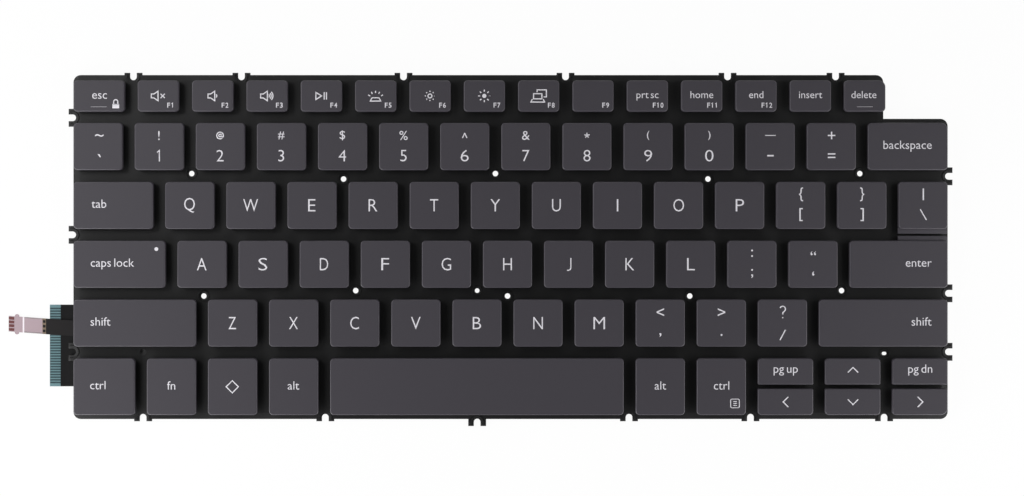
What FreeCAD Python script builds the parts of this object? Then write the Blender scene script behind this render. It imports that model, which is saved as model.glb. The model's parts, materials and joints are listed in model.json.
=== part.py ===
"""Laptop keyboard: low caps on scissor links and rubber domes, over a membrane, a plate and a light sheet.

Millimetres. The origin is at the centre of the underside, +X towards the enter key, +Y towards the
function row and +Z up through the caps. All caps stand at the top of their travel.
"""
import FreeCAD
import Part
import math
import os
from collections import namedtuple

Vector = FreeCAD.Vector
UP = Vector(0, 0, 1)
RIGHT = Vector(1, 0, 0)
ORIGIN = Vector(0, 0, 0)

# Key grid: key widths in key units, the rest in millimetres
KEY_PITCH = 19.05
ROW_PITCH = 18.35
FUNCTION_ROW_DEPTH = 13.1
BOTTOM_ROW_DEPTH = 21.3
KEY_GAP_X = 3.65
KEY_GAP_Y = 3.55
FUNCTION_GAP_X = 4.0
FUNCTION_GAP_Y = 3.3
HALF_KEY_GAP = 1.2
ESC_UNITS = 1.05
BACKSPACE_UNITS = 1.5
TAB_UNITS = 1.5
CAPS_LOCK_UNITS = 1.7
LEFT_SHIFT_UNITS = 2.2
LEFT_CTRL_UNITS = 1.2
ARROW_UNITS = 1.1
STEP_UNITS = 1.0

# Keycaps
CAP_HEIGHT = 1.5
CAP_TOP_WALL = 0.7
CAP_SIDE_WALL = 1.0
CAP_DRAFT = 0.2
CAP_CORNER = 1.2
CAP_OUTER_CORNER = 2.1
CAP_CORNER_FLATS = 2
LEDGE_DROP = 0.55
LEDGE_GAP = 0.65
KEY_TRAVEL = 1.3
PRESSED_CLEARANCE = 0.25

# Sheets, from the underside up
LIGHT_SHEET_THICKNESS = 0.6
PLATE_THICKNESS = 0.4
MEMBRANE_THICKNESS = 0.25
SHEET_EDGE_CLEARANCE = 0.4

# Base plate
PLATE_SIDE_MARGIN = 0.8
PLATE_REAR_MARGIN = 1.95
PLATE_FRONT_MARGIN = 1.55
PLATE_STEP_MARGIN = 1.45
PLATE_CORNER = 2.3
NOTCH_WIDTH = 2.1
NOTCH_LENGTH = 2.3
NOTCH_FLATS = 4
EAR_WIDTH = 1.75
EAR_REACH = 0.7
SIDE_EAR_REACH = 1.5
SPACE_EAR_REACH = 2.2
HOLE_DIAMETER = 2.1
SMALL_HOLE_DIAMETER = 1.6
HOLE_OFFSET = 0.85
HOLE_RIM = 0.45
RIM_SIDES = 6

# Scissor links, stabiliser bars and domes
LINK_BAR = 1.0
LINK_THICKNESS = 0.6
LINK_SIDE_CLEARANCE = 0.9
LINK_END_CLEARANCE = 0.4
LINK_PLAY = 0.2
STABILISER_WIRE = 0.8
STABILISER_LEG = 5.0
DOME_BASE = 5.4
DOME_TOP = 2.8
DOME_SIDES = 6
SEAT_CLEARANCE = 0.05

# Membrane tail and backlight flex, on the left
TAIL_WIDTH = 25.65
TAIL_REACH = 7.6
TAIL_FRONT_SETBACK = 10.2
TAIL_BEND_SETBACK = 10.0
TAIL_BEND_RUN = 2.0
TAIL_CLEARANCE = 0.5
FLEX_THICKNESS = 0.2
FLEX_WIDTH = 4.9
FLEX_REACH = 20.45
FLEX_RISE = 1.5
FLEX_SETBACK = 5.0
FLEX_ROOT_SETBACK = 2.5
FLEX_LUG = 0.75
FLEX_LUG_LENGTH = 1.4
FLEX_LUG_SETBACK = 1.9

# Key rows from the rear to the front, as (name, width in units); FILL takes what its row leaves
FILL = None
NUMBER_ROW = (
    [("grave", 1)]
    + [(f"digit_{digit}", 1) for digit in (1, 2, 3, 4, 5, 6, 7, 8, 9, 0)]
    + [("minus", 1), ("equals", 1), ("backspace", BACKSPACE_UNITS)]
)
FIELD_UNITS = sum(units for name, units in NUMBER_ROW)
FUNCTION_NAMES = [f"f{number}" for number in range(1, 13)] + ["insert", "delete"]
FUNCTION_UNITS = (FIELD_UNITS - STEP_UNITS - ESC_UNITS) / len(FUNCTION_NAMES)
FUNCTION_ROW = [("esc", ESC_UNITS)] + [(name, FUNCTION_UNITS) for name in FUNCTION_NAMES]
TAB_ROW = (
    [("tab", TAB_UNITS)]
    + [(letter, 1) for letter in "qwertyuiop"]
    + [("left_bracket", 1), ("right_bracket", 1), ("backslash", FILL)]
)
CAPS_ROW = (
    [("caps_lock", CAPS_LOCK_UNITS)]
    + [(letter, 1) for letter in "asdfghjkl"]
    + [("semicolon", 1), ("quote", 1), ("enter", FILL)]
)
SHIFT_ROW = (
    [("left_shift", LEFT_SHIFT_UNITS)]
    + [(letter, 1) for letter in "zxcvbnm"]
    + [("comma", 1), ("period", 1), ("slash", 1), ("right_shift", FILL)]
)
BOTTOM_ROW = [
    ("left_ctrl", LEFT_CTRL_UNITS), ("fn", 1), ("super", 1), ("left_alt", 1), ("space", FILL),
    ("right_alt", 1), ("right_ctrl", 1),
    ("page_up", ARROW_UNITS), ("arrow_up", ARROW_UNITS), ("page_down", ARROW_UNITS),
]
FRONT_HALVES = {"page_up": "arrow_left", "arrow_up": "arrow_down", "page_down": "arrow_right"}
STABILISED_KEYS = ("tab", "caps_lock", "enter", "left_shift", "right_shift", "space")
OUTER_CORNERS = {"delete": "rear_right", "backspace": "rear_right", "arrow_right": "front_right"}
CORNERS = ("front_left", "front_right", "rear_right", "rear_left")

# Screw notches and holes by the key that they follow; notches in the sides by a key of the row in front
REAR_NOTCHES = ("esc", "f2", "f5", "f8", "f11", "insert")
FRONT_NOTCHES = ("left_ctrl", "left_alt", "space", "right_ctrl", "arrow_up")
LEFT_NOTCHES = ("grave", "caps_lock", "left_ctrl")
RIGHT_NOTCHES = ("backslash", "right_shift", "page_down")
HOLES_AT_ROW_FRONT = ("digit_1", "digit_6", "equals", "d", "quote")
HOLES_AT_ROW_REAR = ("e", "o", "left_shift", "b", "comma")
SMALL_HOLES_AT_ROW_FRONT = ("g",)
SMALL_HOLES_ON_ROW_LINE = ("left_ctrl", "arrow_up")

# Levels and field edges worked out from the sizes above
PLATE_BOTTOM = LIGHT_SHEET_THICKNESS
PLATE_TOP = PLATE_BOTTOM + PLATE_THICKNESS
MEMBRANE_TOP = PLATE_TOP + MEMBRANE_THICKNESS
CAP_BOTTOM = MEMBRANE_TOP + PRESSED_CLEARANCE + KEY_TRAVEL
CAP_TOP = CAP_BOTTOM + CAP_HEIGHT
CAP_CEILING = CAP_TOP - CAP_TOP_WALL
DOME_LEVEL = CAP_CEILING - SEAT_CLEARANCE
FLEX_BOTTOM = MEMBRANE_THICKNESS + SEAT_CLEARANCE
FIELD_WIDTH = FIELD_UNITS * KEY_PITCH - KEY_GAP_X
ROWS_DEPTH = FUNCTION_ROW_DEPTH + 4 * ROW_PITCH + BOTTOM_ROW_DEPTH
FIELD_DEPTH = ROWS_DEPTH - FUNCTION_GAP_Y / 2 - KEY_GAP_Y / 2
PLATE_DEPTH = PLATE_REAR_MARGIN + FIELD_DEPTH + PLATE_FRONT_MARGIN
FIELD_LEFT = -FIELD_WIDTH / 2
LEFT_EDGE = FIELD_LEFT - PLATE_SIDE_MARGIN
RIGHT_EDGE = -LEFT_EDGE
REAR_EDGE = PLATE_DEPTH / 2
FRONT_EDGE = -PLATE_DEPTH / 2
SHEET_INSET = NOTCH_LENGTH - EAR_REACH + SHEET_EDGE_CLEARANCE
MAIN_POCKET_WIDTH = KEY_PITCH - KEY_GAP_X - 2 * CAP_SIDE_WALL
MAIN_POCKET_DEPTH = ROW_PITCH - KEY_GAP_Y - 2 * CAP_SIDE_WALL
TAIL_FRONT = FRONT_EDGE + TAIL_FRONT_SETBACK
TAIL_REAR = TAIL_FRONT + TAIL_WIDTH
TAIL_BEND = LEFT_EDGE + TAIL_BEND_SETBACK

Key = namedtuple("Key", "name x y width depth")
Row = namedtuple("Row", "rear front edges keys")


def lay_row(names_and_units, rear, depth, gap_x, gap_y):
    """Place one row of caps from the left edge of the field, with the lines between its keys."""
    taken = sum(units for name, units in names_and_units if units is not FILL)
    edges = [FIELD_LEFT - gap_x / 2]
    keys = []
    for name, units in names_and_units:
        width = (FIELD_UNITS - taken if units is FILL else units) * KEY_PITCH
        keys.append(Key(name, edges[-1] + width / 2, rear - depth / 2, width - gap_x, depth - gap_y))
        edges.append(edges[-1] + width)
    return Row(rear, rear - depth, edges, keys)


def lay_out_rows():
    """All six rows, rear to front."""
    rear = REAR_EDGE - PLATE_REAR_MARGIN + FUNCTION_GAP_Y / 2
    rows = [lay_row(FUNCTION_ROW, rear, FUNCTION_ROW_DEPTH, FUNCTION_GAP_X, FUNCTION_GAP_Y)]
    for names_and_units in (NUMBER_ROW, TAB_ROW, CAPS_ROW, SHIFT_ROW):
        rows.append(lay_row(names_and_units, rows[-1].front, ROW_PITCH, KEY_GAP_X, KEY_GAP_Y))
    rows.append(lay_row(BOTTOM_ROW, rows[-1].front, BOTTOM_ROW_DEPTH, KEY_GAP_X, KEY_GAP_Y))
    return rows


def split_halves(keys):
    """Split each half-height column of the bottom row into its rear and its front key."""
    split = []
    for key in keys:
        if key.name not in FRONT_HALVES:
            split.append(key)
            continue
        depth = (key.depth - HALF_KEY_GAP) / 2
        offset = (depth + HALF_KEY_GAP) / 2
        split.append(key._replace(y=key.y + offset, depth=depth))
        split.append(key._replace(name=FRONT_HALVES[key.name], y=key.y - offset, depth=depth))
    return split


def block(left, right, front, rear, bottom, top):
    """Rectangular solid between six planes."""
    return Part.makeBox(right - left, rear - front, top - bottom, Vector(left, front, bottom))


def prism(points, bottom, top):
    """Upright solid over a closed outline of (x, y) points."""
    corners = [Vector(x, y, bottom) for x, y in points]
    face = Part.Face(Part.makePolygon(corners + corners[:1]))
    return face.extrude(UP * (top - bottom))


def frustum(lower, upper):
    """Flat-sided solid between two outlines that have the same number of points."""
    faces = [Part.Face(Part.makePolygon(ring + ring[:1])) for ring in (lower, upper)]
    for index in range(len(lower)):
        after = (index + 1) % len(lower)
        side = [lower[index], lower[after], upper[after], upper[index], lower[index]]
        faces.append(Part.Face(Part.makePolygon(side)))
    return Part.Solid(Part.Shell(faces))


def polygon_outline(sides, across, x, y, z):
    """Regular polygon of the given width across its flats, with flats to the front and rear."""
    radius = across / 2 / math.cos(math.pi / sides)
    angles = [2 * math.pi * side / sides for side in range(sides)]
    return [Vector(x + radius * math.cos(angle), y + radius * math.sin(angle), z) for angle in angles]


def cap_outline(key, inset, z):
    """Outline of a cap, drawn in by inset, each corner rounded by a few flats."""
    points = []
    for index, corner in enumerate(CORNERS):
        radius = CAP_OUTER_CORNER if OUTER_CORNERS.get(key.name) == corner else CAP_CORNER
        side_x = 1 if corner.endswith("right") else -1
        side_y = 1 if corner.startswith("rear") else -1
        x = key.x + side_x * (key.width / 2 - radius)
        y = key.y + side_y * (key.depth / 2 - radius)
        for flat in range(CAP_CORNER_FLATS + 1):
            angle = math.pi + math.pi / 2 * (index + flat / CAP_CORNER_FLATS)
            reach = radius - inset
            points.append(Vector(x + reach * math.cos(angle), y + reach * math.sin(angle), z))
    return points


def pocket_size(key):
    """Width and depth of the hollow under a cap."""
    return key.width - 2 * CAP_SIDE_WALL, key.depth - 2 * CAP_SIDE_WALL


def make_cap(key):
    """Drafted cap with its hollow underside."""
    body = frustum(cap_outline(key, 0, CAP_BOTTOM), cap_outline(key, CAP_DRAFT, CAP_TOP))
    width, depth = pocket_size(key)
    pocket = block(
        key.x - width / 2, key.x + width / 2, key.y - depth / 2, key.y + depth / 2, CAP_BOTTOM, CAP_CEILING
    )
    return body.cut(pocket)


def add_ledge(cap, key, left, side):
    """Lower ledge along one long side of a cap, from left to its right edge, half way to its neighbour."""
    edge = key.y + side * key.depth / 2
    outer = edge + side * (KEY_GAP_Y - LEDGE_GAP) / 2
    inner = edge - side * CAP_SIDE_WALL / 2
    right = key.x + key.width / 2
    ledge = block(left, right, min(inner, outer), max(inner, outer), CAP_BOTTOM, CAP_TOP - LEDGE_DROP)
    return cap.fuse(ledge).removeSplitter()


def make_lower_caps(keys):
    """Caps of the four lower rows by name; backslash and enter reach towards each other."""
    caps = {key.name: make_cap(key) for key in keys}
    by_name = {key.name: key for key in keys}
    backslash = by_name["backslash"]
    left = backslash.x - backslash.width / 2
    caps["backslash"] = add_ledge(caps["backslash"], backslash, left, -1)
    caps["enter"] = add_ledge(caps["enter"], by_name["enter"], left, 1)
    return caps


def make_dome(key, room, top):
    """Rubber dome from the membrane up to a level under its cap, no wider than its room."""
    lower = polygon_outline(DOME_SIDES, min(DOME_BASE, room), key.x, key.y, MEMBRANE_TOP)
    upper = polygon_outline(DOME_SIDES, min(DOME_TOP, room), key.x, key.y, top)
    return frustum(lower, upper)


def make_fixed_key(key):
    """Cap of the two upper rows, in one piece with the dome that carries it on the membrane."""
    dome = make_dome(key, min(pocket_size(key)), CAP_CEILING)
    return make_cap(key).fuse(dome).removeSplitter()


def stabiliser_tilt():
    """Angle of a stabiliser bar between its long side under the cap and its feet on the membrane."""
    rise = CAP_CEILING - MEMBRANE_TOP - 2 * SEAT_CLEARANCE - STABILISER_WIRE
    return math.asin(rise / STABILISER_LEG)


def link_size(key):
    """Width, length and tilt of the scissor links that fit in the hollow of a cap."""
    width, depth = pocket_size(key)
    room = LINK_END_CLEARANCE
    if key.name in STABILISED_KEYS:
        tilt = stabiliser_tilt()
        room += STABILISER_WIRE * (math.cos(tilt) + math.sin(tilt)) + LINK_END_CLEARANCE
    width = min(width, MAIN_POCKET_WIDTH) - 2 * LINK_SIDE_CLEARANCE
    length = min(depth, MAIN_POCKET_DEPTH) - 2 * room
    rise = CAP_CEILING - MEMBRANE_TOP - 2 * SEAT_CLEARANCE - LINK_THICKNESS
    return width, length, math.degrees(math.asin(rise / length))


def inner_link_width(width):
    """Width of the inner link, which turns inside the side bars of the outer one."""
    return width - 2 * LINK_BAR - 2 * LINK_PLAY


def make_link(key, width, length, tilt):
    """One link of a scissor: a four-sided frame, tilted about the middle of its key."""
    half = LINK_THICKNESS / 2
    rim = block(-width / 2, width / 2, -length / 2, length / 2, -half, half)
    opening = block(
        LINK_BAR - width / 2, width / 2 - LINK_BAR, LINK_BAR - length / 2, length / 2 - LINK_BAR, -half, half
    )
    link = rim.cut(opening)
    link.rotate(ORIGIN, RIGHT, tilt)
    link.translate(Vector(key.x, key.y, (CAP_CEILING + MEMBRANE_TOP) / 2))
    return link


def make_scissor(key):
    """Outer and inner link of one key, crossing at the middle of their side bars."""
    width, length, tilt = link_size(key)
    return [make_link(key, width, length, tilt), make_link(key, inner_link_width(width), length, -tilt)]


def dome_room(key):
    """Free width inside both links of a key."""
    width, length, tilt = link_size(key)
    inside = min(inner_link_width(width), length * math.cos(math.radians(tilt)))
    return inside - 2 * LINK_BAR - 2 * LINK_PLAY


def make_stabiliser(key):
    """Bent bar of a wide key: its long side under the cap, its two legs down on the membrane."""
    width, depth = pocket_size(key)
    half = width / 2 - LINK_END_CLEARANCE
    inner = half - STABILISER_WIRE
    outline = [
        (-half, -STABILISER_LEG), (-inner, -STABILISER_LEG), (-inner, -STABILISER_WIRE),
        (inner, -STABILISER_WIRE), (inner, -STABILISER_LEG), (half, -STABILISER_LEG), (half, 0), (-half, 0),
    ]
    tilt = stabiliser_tilt()
    bar = prism(outline, -STABILISER_WIRE, 0)
    bar.rotate(ORIGIN, RIGHT, math.degrees(tilt))
    rear = key.y + depth / 2 - LINK_END_CLEARANCE - STABILISER_WIRE * math.sin(tilt)
    bar.translate(Vector(key.x, rear, CAP_CEILING - SEAT_CLEARANCE))
    return bar


def find_slot(rows, name):
    """Row of a key, and the line between that key and the next one."""
    for row in rows:
        for key, edge in zip(row.keys, row.edges[1:]):
            if key.name == name:
                return row, edge
    raise KeyError(name)


def hole_places(rows):
    """Centres and diameters of the holes between the caps."""
    places = []
    for holes, line, offset, diameter in (
        (HOLES_AT_ROW_FRONT, "front", HOLE_OFFSET, HOLE_DIAMETER),
        (HOLES_AT_ROW_REAR, "rear", -HOLE_OFFSET, HOLE_DIAMETER),
        (SMALL_HOLES_AT_ROW_FRONT, "front", HOLE_OFFSET, SMALL_HOLE_DIAMETER),
        (SMALL_HOLES_ON_ROW_LINE, "rear", 0, SMALL_HOLE_DIAMETER),
    ):
        for name in holes:
            row, edge = find_slot(rows, name)
            places.append((edge, getattr(row, line) + offset, diameter))
    return places


def notch_places(rows):
    """Points on the plate edge, outward turns and ear reaches of the screw notches."""
    space = next(key for key in rows[-1].keys if key.name == "space")
    places = [(find_slot(rows, name)[1], REAR_EDGE, 0, EAR_REACH) for name in REAR_NOTCHES]
    places += [(find_slot(rows, name)[1], FRONT_EDGE, 180, EAR_REACH) for name in FRONT_NOTCHES]
    places.append((space.x, FRONT_EDGE, 180, SPACE_EAR_REACH))
    places += [(LEFT_EDGE, find_slot(rows, name)[0].rear, 90, SIDE_EAR_REACH) for name in LEFT_NOTCHES]
    places += [(RIGHT_EDGE, find_slot(rows, name)[0].rear, 270, SIDE_EAR_REACH) for name in RIGHT_NOTCHES]
    return places


def make_notch(x, y, turn, reach):
    """Ear and open slot of one screw notch, drawn outward along +Y and turned to its edge."""
    ear_side = NOTCH_WIDTH / 2 + EAR_WIDTH
    slot_side = NOTCH_WIDTH / 2
    end = reach - NOTCH_LENGTH + slot_side
    ear = block(-ear_side, ear_side, -NOTCH_LENGTH, reach, PLATE_BOTTOM, PLATE_TOP)
    angles = [math.pi * (1 + flat / NOTCH_FLATS) for flat in range(NOTCH_FLATS + 1)]
    round_end = [(slot_side * math.cos(angle), end + slot_side * math.sin(angle)) for angle in angles]
    slot = prism(round_end + [(slot_side, reach), (-slot_side, reach)], PLATE_BOTTOM, PLATE_TOP)
    for shape in (ear, slot):
        shape.rotate(ORIGIN, UP, turn)
        shape.translate(Vector(x, y, 0))
    return ear, slot


def field_outline(rows, inset):
    """Outline of the sheets: a rectangle with a step beside the function row, drawn in by inset."""
    last_function = rows[0].keys[-1]
    step_x = last_function.x + last_function.width / 2 - inset
    step_y = rows[1].rear - KEY_GAP_Y / 2 + PLATE_STEP_MARGIN - inset
    left, right = LEFT_EDGE + inset, RIGHT_EDGE - inset
    front, rear = FRONT_EDGE + inset, REAR_EDGE - inset
    return [(left, front), (right, front), (right, step_y), (step_x, step_y), (step_x, rear), (left, rear)]


def round_outer_corners(sheet, outline):
    """Fillet the upright edges of a sheet at the outer corners of its outline, not in its step."""
    left, front = outline[0]
    right, rear = outline[1][0], outline[5][1]
    edges = []
    for edge in sheet.Edges:
        start, end = (vertex.Point for vertex in edge.Vertexes)
        upright = abs(start.x - end.x) + abs(start.y - end.y) < SEAT_CLEARANCE
        outer = min(abs(start.x - left), abs(start.x - right), abs(start.y - rear)) < SEAT_CLEARANCE
        if upright and outer:
            edges.append(edge)
    return sheet.makeFillet(PLATE_CORNER, edges)


def make_plate(rows):
    """Stamped plate with its screw ears, open notches, holes and the slot for the membrane tail."""
    outline = field_outline(rows, 0)
    plate = round_outer_corners(prism(outline, PLATE_BOTTOM, PLATE_TOP), outline)
    ears, cuts = [], []
    for place in notch_places(rows):
        ear, slot = make_notch(*place)
        ears.append(ear)
        cuts.append(slot)
    for x, y, diameter in hole_places(rows):
        cuts.append(Part.makeCylinder(diameter / 2, PLATE_THICKNESS, Vector(x, y, PLATE_BOTTOM)))
    cuts.append(block(
        TAIL_BEND - TAIL_BEND_RUN - TAIL_CLEARANCE, TAIL_BEND + TAIL_CLEARANCE,
        TAIL_FRONT - TAIL_CLEARANCE, TAIL_REAR + TAIL_CLEARANCE, PLATE_BOTTOM, PLATE_TOP,
    ))
    return plate.multiFuse(ears).cut(Part.makeCompound(cuts)).removeSplitter()


def make_sheet(rows, bottom, top):
    """Thin sheet inside the plate edge, open round every hole of the plate."""
    sheet = prism(field_outline(rows, SHEET_INSET), bottom, top)
    openings = []
    for x, y, diameter in hole_places(rows):
        rim = polygon_outline(RIM_SIDES, diameter + 2 * HOLE_RIM, x, y, bottom)
        openings.append(prism([(point.x, point.y) for point in rim], bottom, top))
    return sheet.cut(Part.makeCompound(openings))


def make_membrane(rows):
    """Switch laminate on the plate, with its tail bent down through the plate and out on the left."""
    sheet = make_sheet(rows, PLATE_TOP, MEMBRANE_TOP)
    sheet = sheet.cut(block(
        LEFT_EDGE, TAIL_BEND, TAIL_FRONT - TAIL_CLEARANCE, TAIL_REAR + TAIL_CLEARANCE, PLATE_TOP, MEMBRANE_TOP
    ))
    root = TAIL_BEND + TAIL_CLEARANCE
    low = TAIL_BEND - TAIL_BEND_RUN
    end = LEFT_EDGE - TAIL_REACH
    side = [(root, PLATE_TOP), (TAIL_BEND, PLATE_TOP), (low, 0), (end, 0)]
    side += [(x, z + MEMBRANE_THICKNESS) for x, z in reversed(side)]
    corners = [Vector(x, TAIL_FRONT, z) for x, z in side]
    tail = Part.Face(Part.makePolygon(corners + corners[:1])).extrude(Vector(0, TAIL_WIDTH, 0))
    return sheet.fuse(tail).removeSplitter()


def light_sheet_bay():
    """Left, right, front and rear of the bay that the light sheet leaves for the tail."""
    return LEFT_EDGE, TAIL_BEND + TAIL_CLEARANCE, TAIL_FRONT - TAIL_CLEARANCE, TAIL_REAR + TAIL_CLEARANCE


def make_light_sheet(rows):
    """Bonded light films under the plate, cut away over the membrane tail."""
    sheet = make_sheet(rows, 0, PLATE_BOTTOM)
    return sheet.cut(block(*light_sheet_bay(), 0, PLATE_BOTTOM))


def make_flex():
    """Backlight strip: out of the bay of the light sheet, over the tail, to a padded end with two lugs."""
    root_right = TAIL_BEND - TAIL_BEND_RUN - TAIL_CLEARANCE
    root_left = LEFT_EDGE + FLEX_ROOT_SETBACK
    root_rear = light_sheet_bay()[3]
    rear = TAIL_REAR - FLEX_SETBACK
    end = LEFT_EDGE - FLEX_REACH
    slope = FLEX_RISE / FLEX_REACH

    def rear_line(x):
        return rear + max(0, LEFT_EDGE - x) * slope

    lug_left = end + FLEX_LUG_SETBACK
    lug_right = lug_left + FLEX_LUG_LENGTH
    rear_side = [
        (root_left, root_rear), (root_left, rear), (LEFT_EDGE, rear),
        (lug_right, rear_line(lug_right)), (lug_right, rear_line(lug_right) + FLEX_LUG),
        (lug_left, rear_line(lug_left) + FLEX_LUG), (lug_left, rear_line(lug_left)), (end, rear_line(end)),
    ]
    front_side = [
        (end, rear_line(end) - FLEX_WIDTH), (lug_left, rear_line(lug_left) - FLEX_WIDTH),
        (lug_left, rear_line(lug_left) - FLEX_WIDTH - FLEX_LUG),
        (lug_right, rear_line(lug_right) - FLEX_WIDTH - FLEX_LUG),
        (lug_right, rear_line(lug_right) - FLEX_WIDTH),
        (LEFT_EDGE, rear - FLEX_WIDTH), (root_right, rear - FLEX_WIDTH), (root_right, root_rear),
    ]
    return prism(rear_side + front_side, FLEX_BOTTOM, FLEX_BOTTOM + FLEX_THICKNESS)


def write(name, solids):
    """Write one node, a single solid or a group of like solids."""
    shape = solids[0] if len(solids) == 1 else Part.makeCompound(solids)
    shape.exportStep(f"parts/{name}.step")


def main():
    os.makedirs("parts", exist_ok=True)
    rows = lay_out_rows()
    upper_keys = rows[0].keys + rows[1].keys
    lower_keys = [key for row in rows[2:] for key in split_halves(row.keys)]
    write("base_plate", [make_plate(rows)])
    write("switch_membrane", [make_membrane(rows)])
    write("backlight_sheet", [make_light_sheet(rows)])
    write("backlight_flex", [make_flex()])
    write("rubber_domes", [make_dome(key, dome_room(key), DOME_LEVEL) for key in lower_keys])
    write("scissor_links", [link for key in lower_keys for link in make_scissor(key)])
    write("stabiliser_bars", [make_stabiliser(key) for key in lower_keys if key.name in STABILISED_KEYS])
    write("upper_row_keys", [make_fixed_key(key) for key in upper_keys])
    for name, cap in make_lower_caps(lower_keys).items():
        write(f"key_{name}", [cap])


main()
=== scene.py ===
"""Laptop keyboard: caps with printed legends over scissor links, rubber domes, films and a stamped plate.

Metres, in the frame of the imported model, whose bodies and boxes give every piece its place.
"""
import json
import math
from collections import namedtuple

import bmesh
import bpy
from mathutils import Matrix, Vector

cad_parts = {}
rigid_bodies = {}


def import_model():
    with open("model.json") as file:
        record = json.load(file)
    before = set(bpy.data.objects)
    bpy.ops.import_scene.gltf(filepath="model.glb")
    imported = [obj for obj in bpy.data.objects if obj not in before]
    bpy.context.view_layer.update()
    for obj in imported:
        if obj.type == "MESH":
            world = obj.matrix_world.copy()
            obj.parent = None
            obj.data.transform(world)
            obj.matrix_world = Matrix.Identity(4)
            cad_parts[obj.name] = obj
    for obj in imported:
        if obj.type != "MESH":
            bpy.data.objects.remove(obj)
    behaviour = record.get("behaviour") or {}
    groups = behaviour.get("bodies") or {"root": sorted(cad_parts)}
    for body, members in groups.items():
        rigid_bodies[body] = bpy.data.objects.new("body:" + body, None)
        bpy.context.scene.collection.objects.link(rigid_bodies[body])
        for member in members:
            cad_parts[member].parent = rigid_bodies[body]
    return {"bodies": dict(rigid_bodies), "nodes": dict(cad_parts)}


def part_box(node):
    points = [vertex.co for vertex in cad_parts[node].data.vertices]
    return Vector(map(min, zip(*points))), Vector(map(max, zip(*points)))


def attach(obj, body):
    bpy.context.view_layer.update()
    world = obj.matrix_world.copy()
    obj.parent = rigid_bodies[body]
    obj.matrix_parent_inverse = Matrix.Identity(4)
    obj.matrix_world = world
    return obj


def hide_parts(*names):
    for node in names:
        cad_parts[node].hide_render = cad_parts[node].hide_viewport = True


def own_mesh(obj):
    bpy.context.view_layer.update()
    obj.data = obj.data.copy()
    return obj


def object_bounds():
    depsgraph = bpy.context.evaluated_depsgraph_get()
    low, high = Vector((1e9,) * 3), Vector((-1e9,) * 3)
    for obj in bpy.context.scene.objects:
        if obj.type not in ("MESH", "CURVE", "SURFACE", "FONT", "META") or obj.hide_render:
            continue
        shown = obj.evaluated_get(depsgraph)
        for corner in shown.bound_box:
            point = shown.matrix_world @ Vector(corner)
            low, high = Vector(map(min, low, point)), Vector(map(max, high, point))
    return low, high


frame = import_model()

bl_info = {
    "name": "Laptop keyboard",
    "version": (1, 0, 0),
    "blender": (4, 5, 0),
    "location": "View3D > Sidebar > Keyboard",
    "description": "Builds the caps, links, films, plate and studio of a laptop keyboard",
    "category": "Object",
}

MM = 0.001
TOUCH = 0.001 * MM  # points closer than this are one
CUT_TOLERANCE = 0.0001 * MM
LEVEL = 0.99  # least upward part of the normal of a level face
RIM_ANGLE = math.radians(60)  # edges that turn by more than this are rims
CAD_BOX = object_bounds()
UP = Vector((0, 0, 1))

# Levels and edges read from the frame
CAP_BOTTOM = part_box("key_q")[0].z
CAP_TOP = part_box("key_q")[1].z
PLATE_LOW, PLATE_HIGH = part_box("base_plate")
MEMBRANE_LOW, MEMBRANE_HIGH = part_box("switch_membrane")
LIGHT_LOW, LIGHT_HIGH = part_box("backlight_sheet")
FLEX_LOW, FLEX_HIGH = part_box("backlight_flex")
DOME_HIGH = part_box("rubber_domes")[1].z
LINK_LOW, LINK_HIGH = (corner.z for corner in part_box("scissor_links"))
ROW_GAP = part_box("key_q")[0].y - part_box("key_a")[1].y

# Segments of rounded edges and round pieces, and steps of round outlines
CORNER_SEGMENTS = 6
EDGE_SEGMENTS = 4
LEDGE_SEGMENTS = 3
SHEET_SEGMENTS = 2
LINK_SEGMENTS = 1
DISC_SEGMENTS = 24
PIN_SEGMENTS = 10
FLOOR_SEGMENTS = 96
DOME_STEPS = 20
HOLE_STEPS = 14
NOTCH_STEPS = 12
LUG_STEPS = 8
PLATE_CORNER_STEPS = 6
WIRE_STEPS = 5

# Fine sizes that a user has no need to change
TOP_INSET = 0.06 * MM  # border of a cap's flat top, which keeps its shading even
RING_ROOM = 0.1 * MM  # from the edge of a film to the ring round its hole
FILM_EDGE = 0.08 * MM  # radius of the lower edges of the light films
LINK_EDGE = 0.12 * MM  # radius of the edges of a link
PRINT_DEPTH = 0.01 * MM  # how far contacts and print sink into their film
CONTACT_RISE = 0.02 * MM
PRINT_RISE = 0.03 * MM
CONTACT_SETBACK = 0.05 * MM  # from the end of the tail to its contacts
CONTACT_SHARE = 0.28  # half the width of a contact, as a share of the pitch
FLOOR_DROP = 0.02 * MM  # from the lowest piece to the floor

# Keys by row, and the ones that differ from the rest
BASE = "base"
FUNCTION_KEYS = ["esc"] + [f"f{number}" for number in range(1, 13)] + ["insert", "delete"]
NUMBER_KEYS = ["grave"] + [f"digit_{digit}" for digit in "1234567890"] + ["minus", "equals", "backspace"]
ROW_MATES = {"backslash": "right_bracket", "enter": "quote"}
WIDE_KEYS = ("backspace", "tab", "caps_lock", "enter", "left_shift", "right_shift", "space")
OUTER_CORNERS = {"delete": (1, 1), "backspace": (1, 1), "arrow_right": (1, -1)}
REAR_HALVES = ("page_up", "arrow_up", "page_down")
FRONT_HALVES = ("arrow_left", "arrow_down", "arrow_right")

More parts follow.
